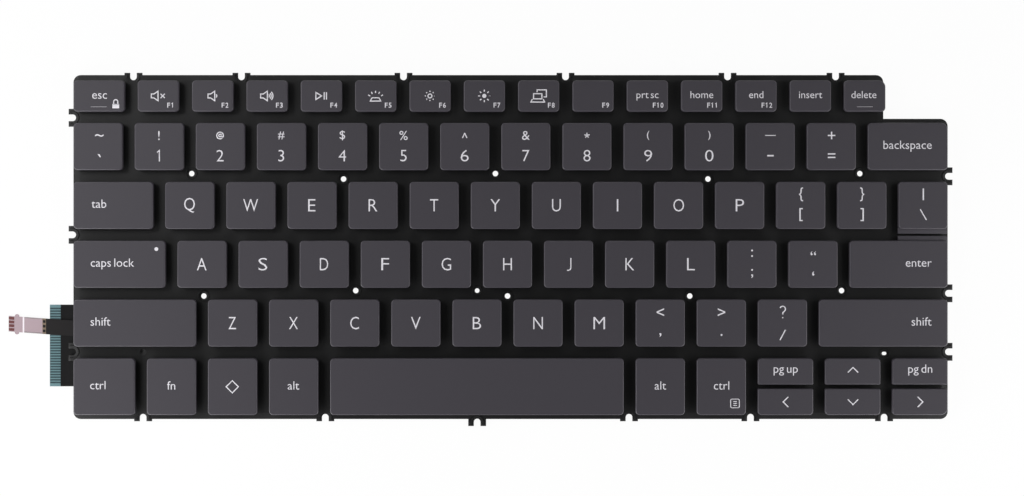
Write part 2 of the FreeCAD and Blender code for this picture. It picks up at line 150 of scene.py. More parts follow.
# Screw notches and holes by the key that they follow; notches in the sides by a key of the row in front
REAR_NOTCHES = ("insert", "f11", "f8", "f5", "f2", "esc")
FRONT_NOTCHES = ("left_ctrl", "left_alt", "space", "right_ctrl", "arrow_up")
LEFT_NOTCHES = ("grave", "caps_lock", "left_ctrl")
RIGHT_NOTCHES = ("page_down", "right_shift", "backslash")
HOLES_AT_ROW_FRONT = ("digit_1", "digit_6", "equals", "d", "quote")
HOLES_AT_ROW_REAR = ("e", "o", "left_shift", "b", "comma")
SMALL_HOLE_AT_ROW_FRONT = "g"
BLIND_HOLE_ON_ROW_LINE = "left_ctrl"
OBLONG_HOLE_ON_ROW_LINE = "arrow_up"

# Legends: shifted and plain sign of a key, then words and where they stand
SIGN_PAIRS = {
    "grave": "~`", "minus": "_-", "equals": "+=", "left_bracket": "{[", "right_bracket": "}]",
    "backslash": "|\\", "semicolon": ":;", "quote": "\u201c\u2018", "comma": "<,", "period": ">.",
    "slash": "?/",
}
SIGN_PAIRS.update({f"digit_{digit}": sign + digit for sign, digit in zip("!@#$%^&*()", "1234567890")})
WORDS_AT_LEFT = {"tab": "tab", "caps_lock": "caps lock", "left_shift": "shift", "left_ctrl": "ctrl"}
WORDS_AT_RIGHT = {"backspace": "backspace", "enter": "enter", "right_shift": "shift"}
WORDS_IN_MIDDLE = {
    "esc": "esc", "f10": "prt sc", "f11": "home", "f12": "end", "insert": "insert", "delete": "delete",
    "fn": "fn", "left_alt": "alt", "right_alt": "alt", "right_ctrl": "ctrl", "page_up": "pg up",
    "page_down": "pg dn",
}
LOW_SIGNS = ("comma", "period", "slash")
SIGN_SIZES = {
    "(": (0.75, None), ")": (0.75, None), "`": (1.3, None), "|": (0.8, 0.42), "0": (1.0, 2.65),
    "\u2018": (1.1, None), "_": (1.0, 3.3), "-": (1.0, 2.0), "#": (0.85, None), "$": (0.92, None),
    "{": (0.92, None), "}": (0.92, None), "[": (0.9, None), "]": (0.9, None), "6": (1.0, 2.5),
    "9": (1.0, 2.5),
}  # share of the usual height, and the width in millimetres where the font's own won't do
LETTER_WIDTHS = {
    "EZ": 2.3, "FL": 2.45, "BPDT": 2.6, "CHKRSUX": 2.75, "AGNVY": 3.0, "OQ": 3.35, "M": 3.6, "W": 4.6,
}  # millimetres
LEGEND_SHIFTS = {
    "esc": 0.25, "delete": -0.35, "grave": 0.45, "tab": 0.45, "caps_lock": 0.2, "left_shift": 0.15,
    "backspace": 0.2, "enter": 0.2, "right_shift": 0.15,
}  # millimetres to the right

# Legends: how far they stand from the middle of a cap, or from the edge in the name
HALF_KEY_RISE = 0.5 * MM
SIDE_WORD_RISE = 0.5 * MM
WORD_RISE = 0.4 * MM
SHIFTED_RISE = 3.4 * MM
PLAIN_DROP = 2.9 * MM
LOW_SIGN_DROP = 3.7 * MM
ONE_SHIFT = 0.15 * MM
LABEL_DROP = 2.9 * MM
LABEL_FROM_RIGHT = 1.35 * MM
WINDOW_FROM_RIGHT = 2.8 * MM
WINDOW_FROM_REAR = 2.7 * MM

# Legends: diameters, line widths and shares
WINDOW = 1.2 * MM
SUN_DISC = 1.3 * MM
LABEL_LINE = 0.23 * MM
LABEL_PITCH = 0.8  # share of the height of a label
LABEL_FILL = 0.74  # width of a letter in a label, as a share of the pitch
FONT_HEIGHT = 0.682  # height of a capital in the built-in font, of size 1
WORD_SPACE = 0.6  # share of the font's own space between words
LETTER_THIN = 0.008  # how far strokes are drawn in, in a font of size 1
WORD_THIN = 0.004
LABEL_THIN = -0.012
DIGIT_ONE = ((-0.42, 0.55), (0, 0.93), (0, -1))  # points of its line, as shares of half its height

Key = namedtuple("Key", "name x y width depth body node")
Notch = namedtuple("Notch", "x y turn reach")


def linear(colour):
    """Linear RGBA of an sRGB hex colour."""
    channels = [int(colour[start:start + 2], 16) / 255 for start in (0, 2, 4)]
    return [c / 12.92 if c <= 0.04045 else ((c + 0.055) / 1.055) ** 2.4 for c in channels] + [1.0]


def length(name, millimetres, description):
    """A size that a user may change."""
    return bpy.props.FloatProperty(
        name=name, description=description, default=millimetres * MM, min=0.0, precision=5, unit="LENGTH"
    )


def colour(name, hex_value, description):
    """A colour that a user may change."""
    return bpy.props.FloatVectorProperty(
        name=name, description=description, default=linear(hex_value), size=4, min=0.0, max=1.0,
        subtype="COLOR",
    )


class CapSettings(bpy.types.PropertyGroup):
    """Keycaps and their legends."""

    corner: length("Corner", 1.2, "Corner radius of a cap, seen from above")
    outer_corner: length("Outer corner", 2.1, "Corner radius of a cap at a corner of the keyboard")
    inner_corner: length("Inner corner", 0.45, "Corner radius where two half-height caps face each other")
    draft: length("Draft", 0.06, "How far the sides of a cap lean in from its foot to its top")
    edge: length("Edge", 0.3, "Radius of the rounded edge round the top of a cap")
    wall: length("Wall", 1.0, "Thickness of the sides of a cap")
    top_wall: length("Top wall", 0.7, "Thickness of the top of a cap")
    ledge_drop: length("Ledge drop", 0.55, "Step down from a cap to the ledge beside its neighbour")
    letter: length("Letter", 3.9, "Height of a letter")
    digit: length("Digit", 3.6, "Height of a digit")
    sign: length("Sign", 3.4, "Height of a sign that has a key to itself")
    small_sign: length("Small sign", 2.8, "Height of a sign above a digit")
    word: length("Word", 2.58, "Height of a tall letter in a word")
    small_word: length("Small word", 2.2, "Height of a tall letter in a word of the function row")
    label: length("Label", 1.5, "Height of the small function labels")
    line: length("Line", 0.34, "Width of the lines of a symbol")
    relief: length("Relief", 0.015, "How far a legend stands above its cap")
    margin: length("Margin", 5.3, "From the end of a cap to a word beside it")
    plastic: colour("Plastic", "37343B", "Colour of the caps")
    # Lighter colour of the rounded top edges of the caps: a painted highlight
    edge_highlight: colour("Edge highlight", "413E45", "Colour of the caps along their polished edges")
    ink: colour("Ink", "DEDCE2", "Colour of the legends")


class LinkSettings(bpy.types.PropertyGroup):
    """Scissor links, rubber domes and stabiliser bars under the caps."""

    bar: length("Bar", 1.0, "Width of the bars of a link")
    thickness: length("Thickness", 0.6, "Thickness of a link")
    side_clearance: length("Side clearance", 0.9, "From the wall of a cap to the side of its links")
    end_clearance: length("End clearance", 0.4, "From the wall of a cap to the end of its links")
    play: length("Play", 0.2, "Play between the two links of a key")
    pin: length("Pin", 0.4, "Diameter of the pivot pins")
    wire: length("Wire", 0.8, "Diameter of a stabiliser bar")
    leg: length("Leg", 5.0, "Length of the legs of a stabiliser bar")
    dome_base: length("Dome base", 5.4, "Diameter of a dome at its foot")
    plastic: colour("Plastic", "1B1B1D", "Colour of the links")
    rubber: colour("Rubber", "A9A8A4", "Colour of the domes")
    steel: colour("Steel", "B9BABD", "Colour of the stabiliser bars")


class PlateSettings(bpy.types.PropertyGroup):
    """Stamped base plate."""

    corner: length("Corner", 2.3, "Corner radius of the plate")
    edge: length("Edge", 0.06, "Radius of the stamped edges")
    notch_width: length("Notch width", 2.1, "Width of a screw notch")
    notch_length: length("Notch length", 2.3, "Length of a screw notch")
    ear_width: length("Ear width", 1.75, "Width of an ear on each side of its notch")
    ear_reach: length("Ear reach", 0.7, "How far front and rear ears stand out")
    side_ear_reach: length("Side ear reach", 1.5, "How far the ears on the sides stand out")
    space_ear_reach: length("Long ear reach", 2.2, "How far the ear under the space bar stands out")
    step_margin: length("Step margin", 1.45, "From the rear of the number row to the edge of the plate")
    bead: length("Bead", 0.45, "Width of the pressed beads round the notches")
    bead_height: length("Bead height", 0.3, "Height of the pressed beads")
    hole: length("Hole", 1.72, "Diameter of the holes between the caps")
    small_hole: length("Small hole", 1.45, "Diameter of the small round hole")
    hole_offset: length("Hole offset", 0.85, "From the line between two rows to a hole")
    slot_hole: length("Slot hole", 1.5, "Length of the small oblong hole")
    slot_width: length("Slot width", 1.05, "Width of the small oblong hole, and of the closed hole")
    slot_offset: length("Slot offset", 0.5, "From the line between two rows to the small oblong hole")
    paint: colour("Paint", "161617", "Colour of the painted steel")


class FilmSettings(bpy.types.PropertyGroup):
    """Membrane, light films and the two tails."""

    inset: length("Inset", 2.0, "From the edge of the plate to the edge of a film")
    ring: length("Ring", 0.45, "Width of the raised ring round a hole")
    rim: length("Rim", 0.45, "From the edge of a hole in the plate to the edge of the film round it")
    tail_width: length("Tail width", 25.65, "Width of the contact tail")
    tail_setback: length("Tail setback", 10.2, "From the front edge of the plate to the tail")
    tail_bend: length("Tail bend", 10.0, "From the left edge of the plate to the top of the tail's bend")
    tail_run: length("Tail run", 2.0, "Length of the slanted part of the bend")
    tail_clearance: length("Tail clearance", 0.5, "Room round the tail")
    tail_film: length("Tail film", 0.25, "Thickness of the membrane and its tail")
    contact: length("Contact", 3.4, "Length of the bare contacts on the tail")
    pitch: length("Pitch", 0.83, "Distance between contacts")
    flex_width: length("Flex width", 4.9, "Width of the light's supply strip")
    flex_setback: length("Flex setback", 5.0, "From the rear of the contact tail to the supply strip")
    flex_root: length("Flex root", 2.5, "From the left edge of the plate to the root of the supply strip")
    flex_reach: length("Flex reach", 20.45, "How far the supply strip stands out")
    flex_rise: length("Flex rise", 1.5, "How far the supply strip leans to the rear at its end")
    lug: length("Lug", 0.75, "How far the lugs of the supply strip stand out")
    lug_length: length("Lug length", 1.4, "Length of a lug")
    lug_setback: length("Lug setback", 1.9, "From the end of the supply strip to a lug")
    black: colour("Black", "111112", "Colour of the black films")
    carbon: colour("Carbon", "284045", "Colour of the printed contacts")
    backing: colour("Backing", "64858B", "Colour of the film under the contacts")
    cover: colour("Cover", "1A1819", "Colour of the covered part of the supply strip")
    polyimide: colour("Polyimide", "A8949B", "Colour of the bare part of the supply strip")
    copper: colour("Copper", "6E4444", "Colour of the pads")
    trace: colour("Trace", "8F8688", "Colour of the traces along the bare part of the supply strip")
    solder: colour("Solder", "80705F", "Colour of the soldered band across the supply strip")
    marking: colour("Marking", "E6DEE4", "Colour of the white print on the supply strip")
    underside: colour("Underside", "2B2B2D", "Colour of the shield film underneath")


class StageSettings(bpy.types.PropertyGroup):
    """Floor, lamps and camera."""

    height: length("Camera height", 500.0, "Height of the camera above the caps")
    view_width: length("View width", 319.0, "Width of the picture at the caps")
    view_x: length("View right", 0.45, "Centre of the picture, to the right of the middle of the plate")
    view_y: length("View front", 0.3, "Centre of the picture, in front of the middle of the plate")
    softbox: length("Softbox", 150.0, "Side of the small softboxes")
    strip_width: length("Strip lamp width", 420.0, "Width of the two front lamps")
    strip_height: length("Strip lamp height", 300.0, "Height of the two front lamps")
    rim_width: length("Rim lamp width", 300.0, "Width of the two low lamps that show the edges of the caps")
    rim_height: length("Rim lamp height", 80.0, "Height of the two low lamps")
    fill: length("Fill", 400.0, "Side of the lamp behind the keyboard")
    floor_radius: length("Floor radius", 4000.0, "Radius of the floor")
    backdrop: length("Backdrop", 800.0, "Height of the white wall round the floor")
    floor: colour("Floor", "F4F4F4", "Colour of the floor and its wall")


def middle(low, high):
    return (low + high) / 2


def loose_boxes(node):
    """Lowest and highest corners of the separate solids of a CAD node."""
    bm = bmesh.new()
    bm.from_mesh(frame["nodes"][node].data)
    bmesh.ops.remove_doubles(bm, verts=bm.verts, dist=TOUCH)
    left = set(bm.verts)
    boxes = []
    while left:
        front = [left.pop()]
        group = []
        while front:
            vert = front.pop()
            group.append(vert.co.copy())
            near = {edge.other_vert(vert) for edge in vert.link_edges} & left
            left -= near
            front.extend(near)
        low = Vector(min(point[axis] for point in group) for axis in range(3))
        high = Vector(max(point[axis] for point in group) for axis in range(3))
        boxes.append((low, high))
    bm.free()
    return boxes


def make_key(name, low, high, body, node):
    """Place and size of one cap, seen from above."""
    centre = middle(low, high)
    return Key(name, centre.x, centre.y, high.x - low.x, high.y - low.y, body, node)


def find_keys():
    """All keys by name: the two upper rows from the solids of their node, the rest from their own nodes."""
    boxes = sorted(loose_boxes("upper_row_keys"), key=lambda box: box[0].x)
    rear = max(high.y for low, high in boxes)
    rows = [
        (FUNCTION_KEYS, [box for box in boxes if box[1].y > rear - MM]),
        (NUMBER_KEYS, [box for box in boxes if box[1].y <= rear - MM]),
    ]
    keys = {}
    for names, row in rows:
        for name, (low, high) in zip(names, row, strict=True):
            keys[name] = make_key(name, low, high, BASE, "upper_row_keys")
    for body in frame["bodies"]:
        if body != BASE:
            name = body.removeprefix("key_")
            low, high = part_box(body)
            if name in ROW_MATES:
                mate_low, mate_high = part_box(f"key_{ROW_MATES[name]}")
                low.y, high.y = mate_low.y, mate_high.y
            keys[name] = make_key(name, low, high, body, body)
    return keys


KEYS = find_keys()


def line_after(name):
    """Line between a key and the next one in its row."""
    key = KEYS[name]
    later = [other for other in KEYS.values() if other.x > key.x and abs(other.y - key.y) < key.depth / 2]
    following = min(later, key=lambda other: other.x)
    return middle(key.x + key.width / 2, following.x - following.width / 2)


def rear_line(name):
    """Line along the rear of a key's row."""
    return KEYS[name].y + (KEYS[name].depth + ROW_GAP) / 2


def front_line(name):
    """Line along the front of a key's row."""
    return KEYS[name].y - (KEYS[name].depth + ROW_GAP) / 2


def add_node(tree, kind, inputs=None, **settings):
    """Add one shader node with its settings, and set or link its inputs."""
    node = tree.nodes.new(kind)
    for name, value in settings.items():
        setattr(node, name, value)
    for name, value in (inputs or {}).items():
        if isinstance(value, bpy.types.NodeSocket):
            tree.links.new(value, node.inputs[name])
        else:
            node.inputs[name].default_value = value
    return node


def new_material(name, inputs):
    """Material with one Principled shader, and the inputs that are set on it."""
    material = bpy.data.materials.new(name)
    material.use_nodes = True
    tree = material.node_tree
    shader = tree.nodes["Principled BSDF"]
    for socket, value in inputs.items():
        shader.inputs[socket].default_value = value
    return material, tree, shader


# Grain size and height in millimetres, lowest and highest roughness, detail of the grain, other inputs
MATERIALS = {
    # Moulded ABS under matt soft-touch paint: dull, with a faint sheen and a fine even grain.
    # The paint's own grit is about 0.05 mm; it is drawn coarser, so that it shows
    "Painted_ABS": (0.45, 0.004, 0.53, 0.63, 2, {"IOR": 1.5}),
    # The same paint along the rounded top edge of a cap: painted a little lighter as a highlight, and
    # glossier as if polished by fingers
    "Polished_paint": (0.45, 0.002, 0.32, 0.42, 2, {"IOR": 1.5}),
    # Pale translucent plastic laid bare by a laser: even, a little chalky
    "Etched_legend": (0.3, 0.002, 0.5, 0.62, 2, {"IOR": 1.5}),
    # Steel sheet with a thin black coat: satin, with the slight unevenness of sprayed paint
    "Painted_steel": (0.7, 0.006, 0.42, 0.6, 2, {"Specular IOR Level": 0.35}),
    # Printed PET film: black and satin, with the fine mottle of screen print
    "Printed_PET_film": (1.1, 0.004, 0.42, 0.6, 4, {"Specular IOR Level": 0.35}),
    # Tinted PET stiffener behind the contacts: smooth and slightly glossy
    "Tinted_PET": (0.8, 0.002, 0.28, 0.4, 2, {"IOR": 1.57}),
    # Carbon ink over silver print: matt, with a slight metallic grey
    "Carbon_print": (0.25, 0.003, 0.4, 0.55, 2, {"Metallic": 0.2}),
    # Matt black varnish over the tail's traces: dull, and darker than the bare film
    "Black_varnish": (0.5, 0.004, 0.55, 0.7, 2, {"Specular IOR Level": 0.12}),
    # Dark shield film on the back of the light guide: satin, with faint rolling waves
    "Shield_film": (2.5, 0.01, 0.34, 0.5, 3, {"IOR": 1.57}),
    # Black cover film glued over the strip: satin, with faint ripples of the glue
    "Cover_film": (1.4, 0.01, 0.4, 0.55, 3, {"Specular IOR Level": 0.2}),
    # Thin polyimide film over copper: pale, slightly glossy, with a soft mottle
    "Polyimide_film": (0.6, 0.004, 0.32, 0.46, 2, {"IOR": 1.6}),
    # Etched copper pads, dulled by air: reddish brown and half bright
    "Etched_copper": (0.3, 0.003, 0.35, 0.5, 2, {"Metallic": 0.6}),
    # White marking ink: flat and bright
    "White_print": (0.3, 0.002, 0.55, 0.65, 2, {"IOR": 1.5}),
    # Tinned pads in brown solder mask: uneven, with a faint metallic shine
    "Solder_mask": (0.3, 0.01, 0.25, 0.5, 2, {"Metallic": 0.3}),
    # Copper trace under the film: a shade greyer than the film round it
    "Buried_trace": (0.6, 0.004, 0.32, 0.46, 2, {"IOR": 1.6}),
    # Moulded acetal: dark, waxy and a little glossy
    "Moulded_acetal": (0.6, 0.003, 0.34, 0.46, 2, {"IOR": 1.48}),
    # Silicone rubber: milky and dull
    "Silicone_rubber": (
        0.5, 0.003, 0.5, 0.65, 2, {"IOR": 1.41, "Subsurface Weight": 0.2, "Subsurface Scale": 0.5 * MM},
    ),
    # Drawn stainless wire: bright, with a fine satin grain
    "Stainless_wire": (0.3, 0.002, 0.22, 0.36, 2, {"Metallic": 1.0}),
}
PAINT_PATCH = 9 * MM  # size of the patches where sprayed paint is thinner or thicker
PAINT_SHADES = (0.82, 1.25)  # darkest and palest patch, as shares of the paint's colour


def make_material(name, tint):
    """Material of one colour, with a fine relief and the roughness that goes with it."""
    size, height, smoothest, roughest, detail, inputs = MATERIALS[name]
    material, tree, shader = new_material(name, {"Base Color": tint, **inputs})
    place = add_node(tree, "ShaderNodeTexCoord").outputs["Object"]
    noise = add_node(
        tree, "ShaderNodeTexNoise", {"Vector": place, "Scale": 1 / (size * MM), "Detail": detail}
    ).outputs["Fac"]
    shine = add_node(tree, "ShaderNodeMapRange", {"Value": noise, "To Min": smoothest, "To Max": roughest})
    bump = add_node(tree, "ShaderNodeBump", {"Height": noise, "Distance": height * MM, "Strength": 1.0})
    tree.links.new(shine.outputs["Result"], shader.inputs["Roughness"])
    tree.links.new(bump.outputs["Normal"], shader.inputs["Normal"])
    return material


def make_materials(tints):
    """Materials by name and colour, in the order of their slots."""
    return [make_material(name, tint) for name, tint in tints.items()]


def plate_paint(plate):
    """Painted steel, with broad faint patches in the paint."""
    material = make_material("Painted_steel", plate.paint)
    tree = material.node_tree
    place = add_node(tree, "ShaderNodeTexCoord").outputs["Object"]
    patches = add_node(
        tree, "ShaderNodeTexNoise", {"Vector": place, "Scale": 1 / PAINT_PATCH, "Detail": 3.0}
    ).outputs["Fac"]
    dark, pale = ([channel * share for channel in plate.paint[:3]] + [1.0] for share in PAINT_SHADES)
    tint = add_node(tree, "ShaderNodeMix", {"Factor": patches, "A": dark, "B": pale}, data_type="RGBA")
    tree.links.new(tint.outputs["Result"], tree.nodes["Principled BSDF"].inputs["Base Color"])
    return material


# Slot 2 holds the rounded top edge of a cap, painted lighter as a highlight
INK, EDGE_HIGHLIGHT = 1, 2  # material slots of a cap


class MakeCaps(bpy.types.Operator):
    """Build the 81 caps with their legends"""

    bl_idname = "keyboard_part.caps"
    bl_label = "Keycaps"

    def execute(self, context):
        settings = context.scene.keyboard_caps
        # The third material paints a highlight on the rounded top edges in a lighter colour
        materials = make_materials({
            "Painted_ABS": settings.plastic, "Etched_legend": settings.ink, "Polished_paint": settings.edge_highlight,
        })
        for key in KEYS.values():
            bm = cap_body(key, settings)
            draw_legend(bm, key, settings)
            cap = add_piece(bm, f"cap_{key.name}", materials, key.body)
            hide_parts(key.node)
        return {"FINISHED"}


def new_mesh(bm, name):
    """Mesh of a finished bmesh, which is freed."""
    mesh = bpy.data.meshes.new(name)
    bm.to_mesh(mesh)
    bm.free()
    return mesh


def add_piece(bm, name, materials, body):
    """Turn a bmesh into a piece of the keyboard that rides on a body."""
    mesh = new_mesh(bm, name)
    for material in materials:
        mesh.materials.append(material)
    piece = bpy.data.objects.new(name, mesh)
    bpy.context.scene.collection.objects.link(piece)
    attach(piece, body)
    return piece


def shade(bm, sharpest=35):
    """Smooth shading, broken at edges that turn by more than the given degrees."""
    bm.normal_update()
    for face in bm.faces:
        face.smooth = True
    for edge in bm.edges:
        if edge.calc_face_angle(0) > math.radians(sharpest):
            edge.smooth = False


def box(bm, low, high):
    """Rectangular solid between two corners; returns its vertices."""
    centre = middle(low, high)
    matrix = Matrix.Translation(centre) @ Matrix.Diagonal((*(high - low), 1))
    return bmesh.ops.create_cube(bm, size=1, matrix=matrix)["verts"]


def round_edges(bm, edges, radius, segments):
    """Round off edges."""
    return bmesh.ops.bevel(
        bm, geom=edges, offset=radius, offset_type="OFFSET", segments=segments, profile=0.5,
        affect="EDGES", material=-1, clamp_overlap=True,
    )


def top_face(bm):
    """The largest face that looks straight up."""
    bm.normal_update()
    return max((face for face in bm.faces if face.normal.z > LEVEL), key=lambda face: face.calc_area())


def corner_radius(key, side_x, side_y, settings):
    """Radius of one corner of a cap."""
    if OUTER_CORNERS.get(key.name) == (side_x, side_y):
        return settings.outer_corner
    if (key.name in REAR_HALVES and side_y < 0) or (key.name in FRONT_HALVES and side_y > 0):
        return settings.inner_corner
    return settings.corner


def cap_body(key, settings):
    """Hollow cap with drafted sides, round corners and a rounded top edge."""
    bm = bmesh.new()
    half = Vector((key.width / 2, key.depth / 2, 0))
    centre = Vector((key.x, key.y, 0))
    box(bm, centre - half + UP * CAP_BOTTOM, centre + half + UP * CAP_TOP)
    bm.normal_update()
    foot = min(bm.faces, key=lambda face: face.normal.z)
    bmesh.ops.inset_individual(bm, faces=[foot], thickness=settings.wall, use_even_offset=True)
    pocket = bmesh.ops.extrude_discrete_faces(bm, faces=[foot])["faces"][0]
    hollow = CAP_TOP - settings.top_wall - CAP_BOTTOM
    bmesh.ops.translate(bm, verts=pocket.verts, vec=UP * hollow)
    corners = []
    for edge in bm.edges:
        start, end = (vert.co for vert in edge.verts)
        outside = abs(abs(start.x - key.x) - half.x) + abs(abs(start.y - key.y) - half.y) < TOUCH
        if outside and abs(start.z - end.z) > TOUCH:
            corners.append((edge, 1 if start.x > key.x else -1, 1 if start.y > key.y else -1))
    for edge, side_x, side_y in corners:
        round_edges(bm, [edge], corner_radius(key, side_x, side_y, settings), CORNER_SEGMENTS)
    top = top_face(bm)
    lean = 2 * settings.draft
    factor = Vector(((key.width - lean) / key.width, (key.depth - lean) / key.depth, 1))
    bmesh.ops.scale(bm, vec=factor, space=Matrix.Translation(-centre), verts=top.verts)
    # The rounded top edge takes the lighter colour, which paints its highlight on
    for face in round_edges(bm, top.edges[:], settings.edge, EDGE_SEGMENTS)["faces"]:
        face.material_index = EDGE_HIGHLIGHT
    bmesh.ops.inset_individual(bm, faces=[top_face(bm)], thickness=TOP_INSET, use_even_offset=True)
    if key.name in ROW_MATES:
        add_ledge(bm, key, settings)
    shade(bm)
    return bm


def add_ledge(bm, key, settings):
    """Lower ledge along the side of a cap that faces its neighbour, up to the edge of its node."""
    low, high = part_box(key.node)
    front, rear = key.y - key.depth / 2, key.y + key.depth / 2
    left = KEYS["backslash"].x - KEYS["backslash"].width / 2
    overlap = settings.wall / 2
    if key.name == "enter":
        near, far = rear - overlap, high.y
    else:
        near, far = low.y, front + overlap
    top = CAP_TOP - settings.ledge_drop
    verts = box(bm, Vector((left, near, CAP_BOTTOM)), Vector((high.x, far, top)))
    edges = {edge for vert in verts for edge in vert.link_edges}
    rim = [edge for edge in edges if min(vert.co.z for vert in edge.verts) > middle(CAP_BOTTOM, top)]
    round_edges(bm, rim, settings.edge / 2, LEDGE_SEGMENTS)


def add_mesh(bm, mesh, matrix, slot):
    """Move a mesh into a bmesh, with one material slot."""
    mesh.transform(matrix)
    mesh.polygons.foreach_set("material_index", [slot] * len(mesh.polygons))
    bm.from_mesh(mesh)
    bpy.data.meshes.remove(mesh)


def add_part(bm, part, matrix, slot):
    """Move a bmesh of its own into a larger one."""
    add_mesh(bm, new_mesh(part, "part"), matrix, slot)


def curve_mesh(curve):
    """Mesh of a text or of lines, which are removed."""
    drawn = bpy.data.objects.new(curve.name, curve)
    mesh = bpy.data.meshes.new_from_object(drawn)
    bpy.data.objects.remove(drawn)
    bpy.data.curves.remove(curve)
    return mesh


def text_mesh(body, thin):
    """Solid letters of size 1, one unit thick, with strokes drawn in by thin."""
    curve = bpy.data.curves.new("legend", "FONT")
    curve.body = body
    curve.offset = -thin
    curve.extrude = 0.5
    curve.resolution_u = 3
    curve.space_word = WORD_SPACE
    return curve_mesh(curve)


def add_text(bm, body, x, y, height, settings, anchor="middle", on_baseline=False, thin=0.0, width=None):
    """Legend on the top of a cap: a lone sign by the middle of its own box, a word by its baseline."""
    mesh = text_mesh(body, thin)
    xs = [vert.co.x for vert in mesh.vertices]
    ys = [vert.co.y for vert in mesh.vertices]
    scale = height / FONT_HEIGHT
    stretch = width / (max(xs) - min(xs)) if width else scale
    along = {"left": min(xs), "right": max(xs), "middle": middle(min(xs), max(xs))}[anchor]
    across = FONT_HEIGHT / 2 if on_baseline else middle(min(ys), max(ys))
    place = Matrix.Translation((x - along * stretch, y - across * scale, CAP_TOP))
    add_mesh(bm, mesh, place @ Matrix.Diagonal((stretch, scale, 2 * settings.relief, 1)), INK)


def add_disc(bm, x, y, diameter, settings):
    """Round printed or clear spot on the top of a cap."""
    spot = bmesh.new()
    bmesh.ops.create_cone(
        spot, cap_ends=True, segments=DISC_SEGMENTS, radius1=0.5, radius2=0.5, depth=2
    )
    place = Matrix.Translation((x, y, CAP_TOP)) @ Matrix.Diagonal((diameter, diameter, settings.relief, 1))
    add_part(bm, spot, place, INK)


def add_one(bm, x, y, height, width, settings):
    """Digit one with a flag, by the middle of its stem."""
    half = height / MM / 2
    points = [(px * half, py * half) for px, py in DIGIT_ONE]
    add_strokes(bm, [(points, False)], x, y, width, settings)


def add_label(bm, label, right, y, settings):
    """Small function label, set letter by letter from its right end."""
    pitch = settings.label * LABEL_PITCH
    for index, letter in enumerate(reversed(label)):
        x = right - pitch * (index + 0.5)
        if letter == "1":
            add_one(bm, x, y, settings.label, LABEL_LINE, settings)
        else:
            width = pitch * LABEL_FILL
            add_text(bm, letter, x, y, settings.label, settings, thin=LABEL_THIN, width=width)


def stroke_mesh(strokes, width):
    """Flat lines of the given width; each stroke is a list of points and whether it closes on itself."""
    curve = bpy.data.curves.new("stroke", "CURVE")
    curve.dimensions = "2D"
    curve.fill_mode = "NONE"
    curve.bevel_depth = width / 2
    curve.bevel_resolution = 1
    curve.use_fill_caps = True
    for points, closed in strokes:
        spline = curve.splines.new("POLY")
        spline.points.add(len(points) - 1)
        for point, (x, y) in zip(spline.points, points):
            point.co = (x, y, 0, 1)
        spline.use_cyclic_u = closed
    return curve_mesh(curve)


def add_strokes(bm, strokes, x, y, width, settings):
    """Drawn sign on the top of a cap; its points are in millimetres from its middle."""
    scaled = [([(px * MM, py * MM) for px, py in points], closed) for points, closed in strokes]
    mesh = stroke_mesh(scaled, width)
    flat = 2 * settings.relief / width
    add_mesh(bm, mesh, Matrix.Translation((x, y, CAP_TOP)) @ Matrix.Diagonal((1, 1, flat, 1)), INK)


def arc(x, y, radius, start, sweep, steps):
    """Points on a circle, from the start angle through the sweep, in degrees."""
    angles = [math.radians(start + sweep * step / steps) for step in range(steps + 1)]
    return [(x + radius * math.cos(angle), y + radius * math.sin(angle)) for angle in angles]


def speaker(waves):
    """Loudspeaker with a number of sound waves."""
    cone = [(-1.6, -0.6), (-0.8, -0.6), (0.5, -1.5), (0.5, 1.5), (-0.8, 0.6), (-1.6, 0.6)]
    return [(cone, True)] + [(arc(0.5, 0, 0.65 + 0.55 * wave, -45, 90, 6), False) for wave in range(waves)]


def rays(radius, reach, count, start, sweep):
    """Short lines that point away from a centre."""
    inner = arc(0, 0, radius, start, sweep, count)
    outer = arc(0, 0, reach, start, sweep, count)
    return [([a, b], False) for a, b in zip(inner, outer)]


def signs():
    """Drawn signs by key, in millimetres."""
    cross = [([(1.3, -0.65), (2.6, 0.65)], False), ([(1.3, 0.65), (2.6, -0.65)], False)]
    play = [([(-1.7, -1.1), (0.1, 0), (-1.7, 1.1)], True)]
    pause = [([(x, -1.15), (x, 1.15)], False) for x in (0.9, 1.6)]
    lamp_top = [*arc(0.85, -0.75, 0.4, 20, 70, 3), *arc(-0.85, -0.75, 0.4, 90, 70, 3)]
    lamp = [([(-1.6, -1.4), (1.6, -1.4), *lamp_top], True)]
    glow = [([(x, y - 0.9) for x, y in ray], False) for ray, closed in rays(2.0, 2.7, 4, 32, 116)]
    ring = [(arc(0, 0, 0.62, 0, 330, 11), True)]
    laptop = [
        ([(-1.7, -0.7), (0.9, -0.7), (0.9, 0.9), (-1.7, 0.9)], True),
        ([(-2.1, -0.8), (-2.5, -1.7), (1.7, -1.7), (1.3, -0.8)], False),
    ]
    rear_screen = [([(-0.6, 1.3), (-0.6, 2.1), (2.3, 2.1), (2.3, -0.1), (1.4, -0.1)], False)]
    return {
        "f1": speaker(0) + cross,
        "f2": speaker(1),
        "f3": speaker(3),
        "f4": play + pause,
        "f5": lamp + glow,
        "f6": ring + rays(1.25, 1.6, 8, 0, 360),
        "f7": rays(1.3, 1.95, 8, 0, 360),
        "f8": laptop + rear_screen,
        "super": [([(0, -1.9), (1.9, 0), (0, 1.9), (-1.9, 0)], True)],
        "arrow_up": [([(-1.6, -0.8), (0, 0.8), (1.6, -0.8)], False)],
        "arrow_down": [([(-1.6, 0.8), (0, -0.8), (1.6, 0.8)], False)],
        "arrow_left": [([(0.8, -1.6), (-0.8, 0), (0.8, 1.6)], False)],
        "arrow_right": [([(-0.8, -1.6), (0.8, 0), (-0.8, 1.6)], False)],
    }


def rounded_square(half, radius):
    """Closed line round a square with round corners."""
    near = half - radius
    corners = [(-near, -near, 180), (near, -near, 270), (near, near, 0), (-near, near, 90)]
    return [point for x, y, start in corners for point in arc(x, y, radius, start, 90, 3)]


